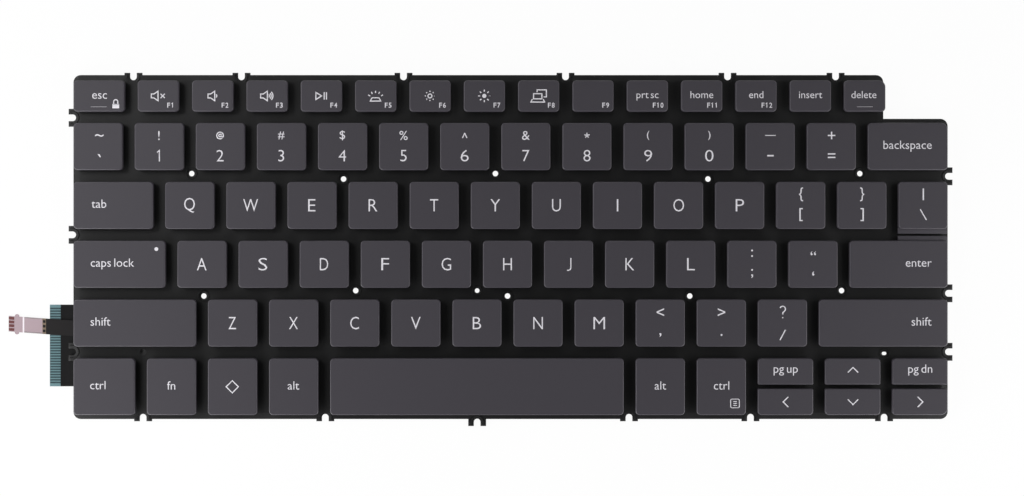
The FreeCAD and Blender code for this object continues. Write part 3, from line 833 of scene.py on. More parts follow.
SIGNS = signs()
STAR = rays(0.1, 0.85, 4, 90, 288)
AT_SIGN = [
    (arc(0, 0, 0.42, 0, 330, 11), True), (arc(0, 0, 1.05, 0, 310, 16), False),
    ([(0.42, 0.42), *arc(0.74, -0.16, 0.32, 180, 160, 5), (1.05, 0)], False),
]
QUESTION_MARK = [
    ([*arc(0, 1.0, 0.87, 160, -215, 9), (0.05, -0.1), (0, -0.7)], False), ([(0, -1.55), (0, -1.87)], False),
]
LETTER_J = [([(0.7, 1.95), *arc(-0.15, -1.05, 0.85, 0, -115, 7)], False)]
SLASH = [([(-0.85, -1.6), (0.85, 1.6)], False)]
BACKSLASH = [([(-0.95, 1.65), (0.95, -1.65)], False)]
DRAWN_SIGNS = {"*": STAR, "@": AT_SIGN, "?": QUESTION_MARK, "J": LETTER_J, "/": SLASH, "\\": BACKSLASH}
SHACKLE = [([(-0.65, -0.6), *arc(0, 0.1, 0.65, 180, -180, 8), (0.65, -0.6)], False)]
LOCK_BODY = [([(-1.05, 0), (1.05, 0)], False)]
MENU = [
    (rounded_square(1.35, 0.4), True), ([(-0.55, 0.6), (0.55, 0.6)], False), ([(-0.55, 0), (0.55, 0)], False),
    ([(-0.55, -0.6), (0.55, -0.6)], False),
]
UNDERLINE = [([(-2.5, 0), (2.5, 0)], False)]
# Strokes, millimetres to the right and to the rear of the middle of a cap, line width if not the usual one
LESSER_SIGNS = {
    "esc": [(SHACKLE, 5.3, -1.9, None), (LOCK_BODY, 5.3, -3.15, 1.4), (UNDERLINE, 0, -3.4, 0.08)],
    "delete": [(UNDERLINE, 0, -3.4, 0.08)],
    "right_ctrl": [(MENU, 4.2, -5.2, 0.24)],
}


def centred(strokes):
    """Strokes moved so that the middle of their box is at zero."""
    points = [point for line, closed in strokes for point in line]
    x = middle(min(point[0] for point in points), max(point[0] for point in points))
    y = middle(min(point[1] for point in points), max(point[1] for point in points))
    return [([(px - x, py - y) for px, py in line], closed) for line, closed in strokes]


def letter_width(letter):
    """Width of a letter, or none where the font's own will do."""
    return next((width * MM for letters, width in LETTER_WIDTHS.items() if letter in letters), None)


def draw_legend(bm, key, settings):
    """Everything that is printed on one cap."""
    name, x = key.name, key.x
    y = key.y + (HALF_KEY_RISE if name in REAR_HALVES else 0)
    left, right = x - key.width / 2, x + key.width / 2
    shift = LEGEND_SHIFTS.get(name, 0.0) * MM
    word = {"height": settings.word, "settings": settings, "on_baseline": True, "thin": WORD_THIN}
    if name in FUNCTION_KEYS[1:]:
        word["height"] = settings.small_word
    if len(name) == 1:
        add_sign(bm, name.upper(), x, y, settings.letter, settings, letter_width(name.upper()))
    elif name in SIGN_PAIRS:
        draw_pair(bm, key, settings)
    elif name in WORDS_AT_LEFT:
        start = left + settings.margin + shift
        add_text(bm, WORDS_AT_LEFT[name], start, y + SIDE_WORD_RISE, anchor="left", **word)
    elif name in WORDS_AT_RIGHT:
        end = right - settings.margin + shift
        add_text(bm, WORDS_AT_RIGHT[name], end, y + SIDE_WORD_RISE, anchor="right", **word)
    elif name in WORDS_IN_MIDDLE:
        add_text(bm, WORDS_IN_MIDDLE[name], x + shift, y + WORD_RISE, **word)
    if name in SIGNS:
        add_strokes(bm, centred(SIGNS[name]), x, y, settings.line, settings)
    if name == "f7":
        add_disc(bm, x, y, SUN_DISC, settings)
    if name in FUNCTION_KEYS[1:13]:
        add_label(bm, name.upper(), right - LABEL_FROM_RIGHT, y - LABEL_DROP, settings)
    for strokes, across, along, width in LESSER_SIGNS.get(name, ()):
        line = width * MM if width else settings.line
        add_strokes(bm, strokes, x + across * MM, y + along * MM, line, settings)
    if name == "caps_lock":
        add_disc(bm, right - WINDOW_FROM_RIGHT, y + key.depth / 2 - WINDOW_FROM_REAR, WINDOW, settings)


def add_sign(bm, sign, x, y, height, settings, width=None):
    """Letter, digit or other sign by its middle, drawn by strokes where the font's own won't do."""
    if sign == "1":
        add_one(bm, x + ONE_SHIFT, y, height, settings.line, settings)
    elif sign in DRAWN_SIGNS:
        add_strokes(bm, DRAWN_SIGNS[sign], x, y, settings.line, settings)
    else:
        thin = LETTER_THIN if sign.isalnum() else 0.0
        add_text(bm, sign, x, y, height, settings, thin=thin, width=width)


def draw_pair(bm, key, settings):
    """Shifted sign over the plain one."""
    above, below = SIGN_PAIRS[key.name]
    digit = key.name.startswith("digit")
    upper, lower = (settings.small_sign, settings.digit) if digit else (settings.sign, settings.sign)
    x = key.x + LEGEND_SHIFTS.get(key.name, 0.0) * MM
    low = key.y - (LOW_SIGN_DROP if key.name in LOW_SIGNS else PLAIN_DROP)
    for sign, y, height in ((above, key.y + SHIFTED_RISE, upper), (below, low, lower)):
        size, width = SIGN_SIZES.get(sign, (1.0, None))
        add_sign(bm, sign, x, y, height * size, settings, width and width * MM)


def field_outline(inset, plate):
    """Edges of a sheet with a step beside the function row: left, right, front, rear, step x and step y."""
    last, first = KEYS["delete"], KEYS["backspace"]
    return {
        "left": PLATE_LOW.x + plate.side_ear_reach + inset,
        "right": PLATE_HIGH.x - plate.side_ear_reach - inset,
        "front": PLATE_LOW.y + plate.space_ear_reach + inset,
        "rear": PLATE_HIGH.y - plate.ear_reach - inset,
        "step_x": last.x + last.width / 2 - inset,
        "step_y": first.y + first.depth / 2 + plate.step_margin - inset,
    }


def notch_places(plate):
    """Screw notches along the four edges, in the order in which the outline meets them."""
    edge = field_outline(0, plate)
    space = KEYS["space"].x
    front = [Notch(line_after(name), edge["front"], 180, plate.ear_reach) for name in FRONT_NOTCHES]
    front.append(Notch(space, edge["front"], 180, plate.space_ear_reach))
    return {
        "front": sorted(front),
        "right": [Notch(edge["right"], rear_line(name), 270, plate.side_ear_reach) for name in RIGHT_NOTCHES],
        "rear": [Notch(line_after(name), edge["rear"], 0, plate.ear_reach) for name in REAR_NOTCHES],
        "left": [Notch(edge["left"], rear_line(name), 90, plate.side_ear_reach) for name in LEFT_NOTCHES],
    }


def turned(points, notch):
    """Points of a notch that looks to the rear, turned and moved to where the notch is."""
    matrix = Matrix.Translation((notch.x, notch.y, 0)) @ Matrix.Rotation(math.radians(notch.turn), 4, "Z")
    return [tuple((matrix @ Vector((x, y, 0)))[:2]) for x, y in points]


def notch_outline(notch, plate):
    """Ear and open slot, from its right side to its left one."""
    half = plate.notch_width / 2
    side = half + plate.ear_width
    reach = notch.reach
    end = reach - plate.notch_length + half
    points = [(side, 0), (side, reach), (half, reach)]
    points += arc(0, end, half, 0, -180, NOTCH_STEPS)
    points += [(-half, reach), (-side, reach), (-side, 0)]
    return turned(points, notch)


def plate_outline(plate):
    """Outline of the plate, counter-clockwise from its front left corner, with every ear and notch."""
    edge = field_outline(0, plate)
    notches = notch_places(plate)
    radius = plate.corner
    left, right, front, rear = edge["left"], edge["right"], edge["front"], edge["rear"]

    def corner(x, y, start):
        return arc(x, y, radius, start, 90, PLATE_CORNER_STEPS)

    def side(name):
        return [point for notch in notches[name] for point in notch_outline(notch, plate)]

    points = corner(left + radius, front + radius, 180) + side("front")
    points += corner(right - radius, front + radius, 270) + side("right")
    points += corner(right - radius, edge["step_y"] - radius, 0)
    points.append((edge["step_x"], edge["step_y"]))
    points += corner(edge["step_x"] - radius, rear - radius, 0) + side("rear")
    points += corner(left + radius, rear - radius, 90) + side("left")
    return points


def hole_places(plate):
    """Centres, lengths and widths of the holes between the caps."""
    round_hole, small_hole = (plate.hole, plate.hole), (plate.small_hole, plate.small_hole)
    places = []
    for name in HOLES_AT_ROW_FRONT:
        places.append((line_after(name), front_line(name) + plate.hole_offset, *round_hole))
    for name in HOLES_AT_ROW_REAR:
        places.append((line_after(name), rear_line(name) - plate.hole_offset, *round_hole))
    name = SMALL_HOLE_AT_ROW_FRONT
    places.append((line_after(name), front_line(name) + plate.hole_offset, *small_hole))
    name = OBLONG_HOLE_ON_ROW_LINE
    places.append((line_after(name), rear_line(name) - plate.slot_offset, plate.slot_hole, plate.slot_width))
    return places


def blind_hole(plate):
    """The one hole that the light films close from below."""
    name = BLIND_HOLE_ON_ROW_LINE
    return line_after(name), rear_line(name), plate.slot_width, plate.slot_width


def oblong(x, y, long, wide, grow=0.0):
    """Closed line round a hole with half-round ends, set off outwards by grow."""
    reach, radius = (long - wide) / 2, wide / 2 + grow
    right = arc(x + reach, y, radius, -90, 180, HOLE_STEPS)
    left = arc(x - reach, y, radius, 90, 180, HOLE_STEPS)
    return right[:-1] + left[:-1]


def add_loop(bm, points):
    """Closed chain of edges through (x, y) points."""
    verts = [bm.verts.new((x, y, 0)) for x, y in points]
    for start, end in zip(verts, verts[1:] + verts[:1]):
        bm.edges.new((start, end))


def only(kind, geometry):
    """Items of one kind, such as vertices, of what an operator returns."""
    return [item for item in geometry if isinstance(item, kind)]


def sheet(outline, cuts, bottom, top):
    """Flat sheet between two levels, with cuts of any outline."""
    bm = bmesh.new()
    for points in [outline, *cuts]:
        add_loop(bm, points)
    bmesh.ops.triangle_fill(bm, use_beauty=True, use_dissolve=False, edges=bm.edges[:], normal=UP)
    bmesh.ops.translate(bm, verts=bm.verts, vec=UP * bottom)
    raised = bmesh.ops.extrude_face_region(bm, geom=bm.faces[:])["geom"]
    bmesh.ops.translate(bm, verts=only(bmesh.types.BMVert, raised), vec=UP * (top - bottom))
    bmesh.ops.recalc_face_normals(bm, faces=bm.faces)
    return bm


def rim_edges(bm, level):
    """Edges round the outline and the holes of a sheet at one level."""
    bm.normal_update()
    found = []
    for edge in bm.edges:
        flat = all(abs(vert.co.z - level) < TOUCH for vert in edge.verts)
        if flat and edge.calc_face_angle(0) > RIM_ANGLE:
            found.append(edge)
    return found


def add_bead(bm, points, closed, width, height, level):
    """Low rounded bead along a line on a sheet."""
    mesh = stroke_mesh([(points, closed)], width)
    matrix = Matrix.Translation(UP * level) @ Matrix.Diagonal((1, 1, 2 * height / width, 1))
    add_mesh(bm, mesh, matrix, 0)


def tail_edges(plate, films):
    """Front, rear and the right end of the contact tail's room."""
    edge = field_outline(0, plate)
    front = edge["front"] + films.tail_setback
    return front, front + films.tail_width, edge["left"] + films.tail_bend


class MakePlate(bpy.types.Operator):
    """Build the stamped plate with its ears, notches, beads and holes"""

    bl_idname = "keyboard_part.plate"
    bl_label = "Base plate"

    def execute(self, context):
        plate, films = context.scene.keyboard_plate, context.scene.keyboard_films
        front, rear, bend = tail_edges(plate, films)
        room = films.tail_clearance
        left, right = bend - films.tail_run - room, bend + room
        slot = [(left, front - room), (right, front - room), (right, rear + room), (left, rear + room)]
        holes = [oblong(*hole) for hole in (*hole_places(plate), blind_hole(plate))]
        bm = sheet(plate_outline(plate), [slot, *holes], PLATE_LOW.z, PLATE_HIGH.z)
        for level in (PLATE_LOW.z, PLATE_HIGH.z):
            round_edges(bm, rim_edges(bm, level), plate.edge, SHEET_SEGMENTS)
        half = (plate.notch_width + plate.ear_width) / 2
        for notch in (notch for side in notch_places(plate).values() for notch in side):
            end = notch.reach - plate.notch_length + plate.notch_width / 2
            reach = notch.reach - plate.bead
            line = [(half, reach)] + arc(0, end, half, 0, -180, NOTCH_STEPS) + [(-half, reach)]
            add_bead(bm, turned(line, notch), False, plate.bead, plate.bead_height, PLATE_HIGH.z)
        shade(bm)
        piece = add_piece(bm, "plate", [plate_paint(plate)], BASE)
        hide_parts("base_plate")
        return {"FINISHED"}


def film_outline(inset, plate):
    """Corners of a film inside the edge of the plate."""
    edge = field_outline(inset, plate)
    return [
        (edge["left"], edge["front"]), (edge["right"], edge["front"]), (edge["right"], edge["step_y"]),
        (edge["step_x"], edge["step_y"]), (edge["step_x"], edge["rear"]), (edge["left"], edge["rear"]),
    ]


def with_bay(outline, right, front, rear):
    """Film outline with a bay cut into its left side."""
    left = outline[0][0]
    return outline + [(left, rear), (right, rear), (right, front), (left, front)]


def film_holes(plate, films, blind):
    """Outlines of the holes in a film, which leave a rim of the plate free."""
    places = hole_places(plate) + ([blind_hole(plate)] if blind else [])
    return [oblong(*place, films.rim) for place in places]


BACKING, CARBON, VARNISH = 1, 2, 3  # material slots of the membrane, after its film


class MakeMembrane(bpy.types.Operator):
    """Build the switch membrane with its contact tail"""

    bl_idname = "keyboard_part.membrane"
    bl_label = "Switch membrane"

    def execute(self, context):
        plate, films = context.scene.keyboard_plate, context.scene.keyboard_films
        top = MEMBRANE_HIGH.z
        holes = film_holes(plate, films, True)
        bm = sheet(film_outline(films.inset, plate), holes, top - films.tail_film, top)
        for place in hole_places(plate):
            ring = oblong(*place, films.rim + films.ring / 2 + RING_ROOM)
            add_bead(bm, ring, True, films.ring, films.ring / 2, top)
        add_tail(bm, plate, films)
        shade(bm)
        materials = make_materials({
            "Printed_PET_film": films.black, "Tinted_PET": films.backing, "Carbon_print": films.carbon,
            "Black_varnish": films.black,
        })
        piece = add_piece(bm, "membrane", materials, BASE)
        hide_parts("switch_membrane")
        return {"FINISHED"}


def add_tail(bm, plate, films):
    """Contact tail: a strip that bends down through the plate, with printed contacts at its end."""
    front, rear, bend = tail_edges(plate, films)
    film = films.tail_film
    end = MEMBRANE_LOW.x
    bare = end + films.contact
    top = MEMBRANE_HIGH.z
    level = MEMBRANE_LOW.z + film
    path = [
        (bend + films.tail_clearance, top - film / 2), (bend, top - film / 2), (bend - films.tail_run, level),
        (bare, level), (end, level),
    ]
    start = [bm.verts.new((path[0][0], y, path[0][1])) for y in (front, rear)]
    edge = bm.edges.new(start)
    strip = []
    for (x, z), (next_x, next_z) in zip(path, path[1:]):
        grown = bmesh.ops.extrude_edge_only(bm, edges=[edge])["geom"]
        edge = only(bmesh.types.BMEdge, grown)[0]
        strip += only(bmesh.types.BMFace, grown)
        verts = only(bmesh.types.BMVert, grown)
        bmesh.ops.translate(bm, verts=verts, vec=Vector((next_x - x, 0, next_z - z)))
    for face in strip:
        face.material_index = VARNISH
    strip[-1].material_index = BACKING
    bmesh.ops.recalc_face_normals(bm, faces=strip)
    if strip[0].normal.z < 0:
        bmesh.ops.reverse_faces(bm, faces=strip)
    bmesh.ops.solidify(bm, geom=strip, thickness=film)
    count = int(films.tail_width / films.pitch) - 1
    first = middle(front, rear) - films.pitch * (count - 1) / 2
    for index in range(count):
        y = first + index * films.pitch
        low = Vector((end + CONTACT_SETBACK, y - films.pitch * CONTACT_SHARE, level - PRINT_DEPTH))
        high = Vector((bare, y + films.pitch * CONTACT_SHARE, level + CONTACT_RISE))
        for vert in box(bm, low, high):
            for face in vert.link_faces:
                face.material_index = CARBON


class MakeLightSheet(bpy.types.Operator):
    """Build the light films under the plate"""

    bl_idname = "keyboard_part.light_sheet"
    bl_label = "Backlight sheet"

    def execute(self, context):
        plate, films = context.scene.keyboard_plate, context.scene.keyboard_films
        front, rear, bend = tail_edges(plate, films)
        room = films.tail_clearance
        outline = with_bay(film_outline(films.inset, plate), bend + room, front - room, rear + room)
        bm = sheet(outline, film_holes(plate, films, False), LIGHT_LOW.z, LIGHT_HIGH.z)
        round_edges(bm, rim_edges(bm, LIGHT_LOW.z), FILM_EDGE, SHEET_SEGMENTS)
        shade(bm)
        materials = make_materials({"Shield_film": films.underside})
        piece = add_piece(bm, "light_sheet", materials, BASE)
        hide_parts("backlight_sheet")
        return {"FINISHED"}


COVER, POLYIMIDE, COPPER, MARKING, SOLDER, TRACE = range(6)  # material slots of the supply strip
# Start and end in millimetres along the strip, place and pitch as shares of its width, count, width in
# millimetres, slot
FLEX_PRINTS = (
    (0.05, 1.75, 0.14, 0.24, 4, 0.84, COPPER),
    (4.9, 10.6, 0.04, 0.92, 2, 0.3, TRACE),
    (10.75, 11.55, 0.2, 0.3, 3, 0.8, COVER),
)
# Where each zone of colour starts, in millimetres from the strip's end, and its slot
FLEX_ZONES = ((11.7, COVER), (10.6, SOLDER), (4.9, POLYIMIDE), (4.4, MARKING))


class MakeFlex(bpy.types.Operator):
    """Build the printed strip that feeds the light"""

    bl_idname = "keyboard_part.flex"
    bl_label = "Backlight flex"

    def execute(self, context):
        plate, films = context.scene.keyboard_plate, context.scene.keyboard_films
        bm = flex_body(plate, films)
        add_flex_print(bm, plate, films)
        shade(bm)
        materials = make_materials({
            "Cover_film": films.cover, "Polyimide_film": films.polyimide, "Etched_copper": films.copper,
            "White_print": films.marking, "Solder_mask": films.solder, "Buried_trace": films.trace,
        })
        piece = add_piece(bm, "light_flex", materials, BASE)
        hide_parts("backlight_flex")
        return {"FINISHED"}


def flex_rear(x, plate, films):
    """Rear edge of the supply strip, which leans to the rear outside the plate."""
    rear = tail_edges(plate, films)[1] - films.flex_setback
    left = field_outline(0, plate)["left"]
    return rear + max(0, left - x) * films.flex_rise / films.flex_reach


def flex_body(plate, films):
    """Strip from the bay under the plate to its lugs, cut into its zones of colour."""
    end = FLEX_LOW.x
    rear, bend = tail_edges(plate, films)[1:]
    left = field_outline(0, plate)["left"]
    root_left, root_right = left + films.flex_root, bend - films.tail_run - films.tail_clearance
    root_rear = rear + films.tail_clearance
    lug_left = end + films.lug_setback
    lug_right = lug_left + films.lug_length
    lug_x, bulge = middle(lug_left, lug_right), films.lug_length / 2

    def rear_point(x, out=0.0):
        return (x, flex_rear(x, plate, films) + out)

    def front_point(x, out=0.0):
        return (x, flex_rear(x, plate, films) - films.flex_width - out)

    outline = [
        (root_left, root_rear), rear_point(root_left), rear_point(left), rear_point(lug_right),
        *arc(lug_x, rear_point(lug_x, films.lug - bulge)[1], bulge, 0, 180, LUG_STEPS),
        rear_point(lug_left), rear_point(end), front_point(end), front_point(lug_left),
        *arc(lug_x, front_point(lug_x, films.lug - bulge)[1], bulge, 180, 180, LUG_STEPS),
        front_point(lug_right), front_point(left), front_point(root_right), (root_right, root_rear),
    ]
    bm = sheet(outline, [], FLEX_LOW.z, FLEX_HIGH.z)
    for start, slot in FLEX_ZONES:
        bmesh.ops.bisect_plane(
            bm, geom=bm.verts[:] + bm.edges[:] + bm.faces[:], dist=CUT_TOLERANCE,
            plane_co=(end + start * MM, 0, 0), plane_no=(1, 0, 0),
        )
    for face in bm.faces:
        along = face.calc_center_median().x - end
        zones = (slot for start, slot in FLEX_ZONES if along > start * MM)
        face.material_index = next(zones, POLYIMIDE)
    return bm


def add_flex_print(bm, plate, films):
    """Copper pads at the end of the strip, a trace along each side of it and dark parts on its band."""
    end = FLEX_LOW.x
    for start, stop, first, pitch, count, width, slot in FLEX_PRINTS:
        for index in range(count):
            across = films.flex_width * (first + pitch * index)
            corners = []
            for along, side in ((start, -1), (stop, -1), (stop, 1), (start, 1)):
                x = end + along * MM
                corners.append((x, flex_rear(x, plate, films) - across + side * width / 2 * MM))
            part = sheet(corners, [], FLEX_HIGH.z - PRINT_DEPTH, FLEX_HIGH.z + PRINT_RISE)
            add_part(bm, part, Matrix.Identity(4), slot)


RUBBER = 1  # material slot of the domes, after that of the links


class MakeLinks(bpy.types.Operator):
    """Build the scissor links and the rubber dome under every cap"""

    bl_idname = "keyboard_part.links"
    bl_label = "Scissor links and domes"

    def execute(self, context):
        caps, links = context.scene.keyboard_caps, context.scene.keyboard_links
        materials = make_materials({"Moulded_acetal": links.plastic, "Silicone_rubber": links.rubber})
        upper = bmesh.new()
        for key in KEYS.values():
            fixed = key.body == BASE
            bm = upper if fixed else bmesh.new()
            add_scissor(bm, key, caps, links)
            add_dome(bm, key, caps, links)
            if not fixed:
                shade(bm)
                piece = add_piece(bm, f"links_{key.name}", materials, BASE)
                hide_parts("scissor_links", "rubber_domes")
                fold(piece)
        shade(upper)
        piece = add_piece(upper, "links_upper_rows", materials, BASE)
        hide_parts("upper_row_keys")
        return {"FINISHED"}


def fold(piece):
    """Give a piece under a cap a mesh of its own."""
    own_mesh(piece)


def pocket(key, caps):
    """Width and depth of the hollow under a cap."""
    return key.width - 2 * caps.wall, key.depth - 2 * caps.wall


def stabiliser_tilt(links):
    """Angle between the long side of a stabiliser bar under its cap and its feet on the membrane."""
    return math.asin((LINK_HIGH - LINK_LOW - links.wire) / links.leg)


def link_size(key, caps, links):
    """Width, length and tilt of the links of a key."""
    width, depth = pocket(key, caps)
    main_width, main_depth = pocket(KEYS["q"], caps)
    room = links.end_clearance
    if key.name in WIDE_KEYS:
        tilt = stabiliser_tilt(links)
        room += links.wire * (math.cos(tilt) + math.sin(tilt)) + links.end_clearance
    width = min(width, main_width) - 2 * links.side_clearance
    reach = min(depth, main_depth) - 2 * room
    return width, reach, math.asin((LINK_HIGH - LINK_LOW - links.thickness) / reach)


def inner_width(width, links):
    """Width of the inner link of a pair."""
    return width - 2 * links.bar - 2 * links.play


def add_link(bm, key, width, reach, tilt, links):
    """One four-sided frame of a scissor, tilted about the middle of its key."""
    link = bmesh.new()
    half = Vector((width / 2, reach / 2, links.thickness / 2))
    box(link, -half, half)
    link.normal_update()
    faces = [face for face in link.faces if abs(face.normal.z) > LEVEL]
    bmesh.ops.inset_individual(link, faces=faces, thickness=links.bar, use_even_offset=True)
    bmesh.ops.bridge_loops(link, edges=[edge for face in faces for edge in face.edges])
    bmesh.ops.delete(link, geom=faces, context="FACES_ONLY")
    bmesh.ops.recalc_face_normals(link, faces=link.faces)
    link.normal_update()
    sharp = [edge for edge in link.edges if edge.calc_face_angle(0) > RIM_ANGLE]
    round_edges(link, sharp, LINK_EDGE, LINK_SEGMENTS)
    place = Matrix.Translation((key.x, key.y, middle(LINK_LOW, LINK_HIGH)))
    add_part(bm, link, place @ Matrix.Rotation(tilt, 4, "X"), 0)


def add_scissor(bm, key, caps, links):
    """Outer and inner link, with a pivot pin through each pair of side bars."""
    width, reach, tilt = link_size(key, caps, links)
    inside = inner_width(width, links)
    add_link(bm, key, width, reach, tilt, links)
    add_link(bm, key, inside, reach, -tilt, links)
    for side in (-1, 1):
        x = key.x + side * middle(inside / 2 - links.bar, width / 2)
        place = Matrix.Translation((x, key.y, middle(LINK_LOW, LINK_HIGH)))
        bmesh.ops.create_cone(
            bm, cap_ends=True, segments=PIN_SEGMENTS, radius1=links.pin / 2, radius2=links.pin / 2,
            depth=width / 2 - inside / 2 + links.bar, matrix=place @ Matrix.Rotation(math.pi / 2, 4, "Y"),
        )


DOME_PROFILE = (
    (0, 0), (1, 0), (1, 0.06), (0.8, 0.12), (0.72, 0.3), (0.64, 0.62), (0.55, 0.86), (0.52, 0.97), (0.46, 1),
    (0.3, 1), (0.26, 0.95), (0, 0.94),
)  # radius and height, as shares of the dome's own


def add_dome(bm, key, caps, links):
    """Rubber dome between the membrane and the ceiling of its cap, turned from its profile."""
    width, reach, tilt = link_size(key, caps, links)
    inside = min(inner_width(width, links), reach * math.cos(tilt)) - 2 * links.bar - 2 * links.play
    radius, height = min(links.dome_base, inside) / 2, DOME_HIGH - MEMBRANE_HIGH.z
    centre = Vector((key.x, key.y, MEMBRANE_HIGH.z))
    verts = [bm.verts.new(centre + Vector((r * radius, 0, z * height))) for r, z in DOME_PROFILE]
    edges = [bm.edges.new(pair) for pair in zip(verts, verts[1:])]
    before = set(bm.faces)
    bmesh.ops.spin(
        bm, geom=verts + edges, cent=centre, axis=UP, angle=2 * math.pi, steps=DOME_STEPS, use_merge=True,
        use_duplicate=False,
    )
    faces = [face for face in bm.faces if face not in before]
    bmesh.ops.remove_doubles(bm, verts=list({vert for face in faces for vert in face.verts}), dist=TOUCH)
    faces = [face for face in bm.faces if face not in before]
    bmesh.ops.recalc_face_normals(bm, faces=faces)
    for face in faces:
        face.material_index = RUBBER


WIRE_ANGLE = 50  # degrees; the facets of a round wire turn by less


class MakeStabilisers(bpy.types.Operator):
    """Build the bent bars that keep the wide caps level"""

    bl_idname = "keyboard_part.stabilisers"
    bl_label = "Stabiliser bars"

    def execute(self, context):
        caps, links = context.scene.keyboard_caps, context.scene.keyboard_links
        materials = make_materials({"Stainless_wire": links.steel})
        for name in WIDE_KEYS:
            key = KEYS[name]
            bm = stabiliser(key, caps, links)
            shade(bm, WIRE_ANGLE)
            piece = add_piece(bm, f"stabiliser_{name}", materials, BASE)
            if key.body == BASE:
                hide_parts("upper_row_keys")
            else:
                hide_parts("stabiliser_bars")
                fold(piece)
        return {"FINISHED"}


def stabiliser(key, caps, links):
    """Round wire: its long side under the rear of the cap, its two legs down to the membrane."""
    width, depth = pocket(key, caps)
    half = width / 2 - links.end_clearance - links.wire / 2
    leg, bend = links.leg - links.wire / 2, links.wire
    points = [(-half, -leg)] + arc(-half + bend, -bend, bend, 180, -90, WIRE_STEPS)
    points += arc(half - bend, -bend, bend, 90, -90, WIRE_STEPS) + [(half, -leg)]
    mesh = stroke_mesh([(points, False)], links.wire)
    tilt = stabiliser_tilt(links)
    rear = key.y + depth / 2 - links.end_clearance - links.wire / 2
    place = Matrix.Translation((key.x, rear, LINK_HIGH - links.wire / 2)) @ Matrix.Rotation(tilt, 4, "X")
    bm = bmesh.new()
    add_mesh(bm, mesh, place, 0)
    return bm


FLOOR_GLOW = 0.95  # share of plain white in the floor where it is seen; the rest holds the shadow
FLOOR_ROUGHNESS = 0.9
WORLD_LEVEL = 0.05
SENSOR_WIDTH = 36.0  # millimetres
WHITE = (1, 1, 1, 1)


class MakeStage(bpy.types.Operator):
    """Build the floor, the lamps and the camera"""

    bl_idname = "keyboard_part.stage"
    bl_label = "Studio"

    def execute(self, context):
        stage = context.scene.keyboard_stage
        add_floor(stage)
        light_world(context.scene)
        for name, place, watts, width, height in lamps(stage):
            add_lamp(context.scene, name, place, watts, width, height)
        add_camera(context.scene, stage)
        context.scene.view_settings.view_transform = "Standard"
        return {"FINISHED"}


def lamps(stage):
    """Broad lamps at the two front corners, low ones for the edges, weak softboxes and a fill behind."""
    softbox, fill = stage.softbox, stage.fill
    strip, rim = (stage.strip_width, stage.strip_height), (stage.rim_width, stage.rim_height)
    # Name, place in metres, power in watts, width and height
    return (
        ("edge_left", Vector((-0.32, -0.20, 0.15)), 1.4, *strip),
        ("edge_right", Vector((0.34, -0.21, 0.15)), 1.25, *strip),
        ("rim_left", Vector((-0.25, -0.24, 0.06)), 0.3, *rim),
        ("rim_right", Vector((0.22, -0.24, 0.06)), 0.12, *rim),
        ("softbox_left", Vector((-0.28, 0.12, 0.27)), 0.43, softbox, softbox),
        ("softbox_right", Vector((0.32, 0.05, 0.26)), 0.17, softbox, softbox),
        ("fill_rear", Vector((0.0, 0.5, 0.6)), 0.9, fill, fill),
    )


def add_lamp(scene, name, place, watts, width, height):
    """Softbox that looks at the middle of the keyboard."""
    lamp = bpy.data.lights.new(name, "AREA")
    lamp.energy = watts
    lamp.shape = "RECTANGLE"
    lamp.size = width
    lamp.size_y = height
    holder = bpy.data.objects.new(name, lamp)
    holder.visible_camera = False
    holder.matrix_world = Matrix.Translation(place) @ (-place).to_track_quat("-Z", "Y").to_matrix().to_4x4()
    scene.collection.objects.link(holder)


def is_seen(tree):
    """One where the picture, a mirror or glass shows a surface, and zero where it only gives light."""
    rays_by_kind = add_node(tree, "ShaderNodeLightPath").outputs
    seen = rays_by_kind["Is Camera Ray"]
    for kind in ("Is Glossy Ray", "Is Transmission Ray"):
        either = add_node(tree, "ShaderNodeMath", {0: seen, 1: rays_by_kind[kind]}, operation="MAXIMUM")
        seen = either.outputs[0]
    return seen


def add_floor(stage):
    """White floor and wall round the keyboard, shown white but still holding a soft shadow."""
    bm = bmesh.new()
    bmesh.ops.create_circle(bm, cap_ends=True, radius=stage.floor_radius, segments=FLOOR_SEGMENTS)
    wall = bmesh.ops.extrude_edge_only(bm, edges=bm.edges)["geom"]
    bmesh.ops.translate(bm, verts=only(bmesh.types.BMVert, wall), vec=UP * stage.backdrop)
    bmesh.ops.recalc_face_normals(bm, faces=bm.faces)
    bmesh.ops.translate(bm, verts=bm.verts, vec=UP * (CAD_BOX[0][2] - FLOOR_DROP))
    mesh = new_mesh(bm, "floor")
    floor = bpy.data.objects.new("floor", mesh)
    bpy.context.scene.collection.objects.link(floor)
    mesh.materials.append(white_card(stage))


def white_card(stage):
    """White card: chalky and even, and plain white where it is seen."""
    inputs = {"Base Color": stage.floor, "Roughness": FLOOR_ROUGHNESS}
    material, tree, shader = new_material("White_card", inputs)
    glow = add_node(tree, "ShaderNodeEmission", {"Color": WHITE, "Strength": 1.0})
    share = add_node(tree, "ShaderNodeMath", {0: is_seen(tree), 1: FLOOR_GLOW}, operation="MULTIPLY")
    mix = add_node(
        tree, "ShaderNodeMixShader", {0: share.outputs[0], 1: shader.outputs[0], 2: glow.outputs[0]}
    )
    tree.links.new(mix.outputs[0], tree.nodes["Material Output"].inputs["Surface"])
    return material


def light_world(scene):
    """Weak even light from all round."""
    world = bpy.data.worlds.new("studio")
    world.use_nodes = True
    background = world.node_tree.nodes["Background"]
    background.inputs["Color"].default_value = WHITE
    background.inputs["Strength"].default_value = WORLD_LEVEL
    scene.world = world


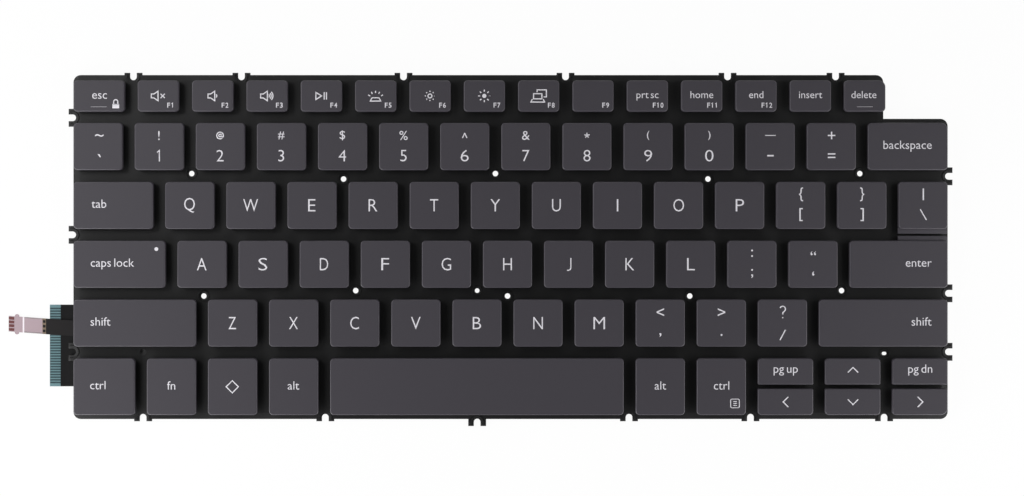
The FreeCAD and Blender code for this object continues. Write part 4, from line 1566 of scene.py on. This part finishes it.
def add_camera(scene, stage):
    """Camera straight above the keyboard."""
    lens = bpy.data.cameras.new("camera")
    lens.sensor_width = SENSOR_WIDTH
    lens.lens = lens.sensor_width * stage.height / stage.view_width
    camera = bpy.data.objects.new("camera", lens)
    camera.location = (stage.view_x, -stage.view_y, CAP_TOP + stage.height)
    scene.collection.objects.link(camera)
    scene.camera = camera


GROUPS = {
    "keyboard_caps": CapSettings,
    "keyboard_links": LinkSettings,
    "keyboard_plate": PlateSettings,
    "keyboard_films": FilmSettings,
    "keyboard_stage": StageSettings,
}
OPERATORS = (
    MakePlate, MakeMembrane, MakeLightSheet, MakeFlex, MakeLinks, MakeStabilisers, MakeCaps, MakeStage,
)


class KeyboardPanel(bpy.types.Panel):
    """Sizes, colours and the buttons that build each group of pieces"""

    bl_idname = "VIEW3D_PT_keyboard_part"
    bl_label = "Laptop keyboard"
    bl_space_type = "VIEW_3D"
    bl_region_type = "UI"
    bl_category = "Keyboard"

    def draw(self, context):
        for operator in OPERATORS:
            self.layout.operator(operator.bl_idname)
        for group in GROUPS:
            column = self.layout.box().column()
            settings = getattr(context.scene, group)
            for name in settings.bl_rna.properties.keys():
                if name not in ("rna_type", "name"):
                    column.prop(settings, name)


def register():
    for group, settings in GROUPS.items():
        bpy.utils.register_class(settings)
        setattr(bpy.types.Scene, group, bpy.props.PointerProperty(type=settings))
    for cls in (*OPERATORS, KeyboardPanel):
        bpy.utils.register_class(cls)


def unregister():
    for cls in reversed((*OPERATORS, KeyboardPanel)):
        bpy.utils.unregister_class(cls)
    for group, settings in GROUPS.items():
        delattr(bpy.types.Scene, group)
        bpy.utils.unregister_class(settings)


def main():
    register()
    bpy.ops.keyboard_part.plate()
    bpy.ops.keyboard_part.membrane()
    bpy.ops.keyboard_part.light_sheet()
    bpy.ops.keyboard_part.flex()
    bpy.ops.keyboard_part.links()
    bpy.ops.keyboard_part.stabilisers()
    bpy.ops.keyboard_part.caps()
    bpy.ops.keyboard_part.stage()


if __name__ == "__main__":
    main()
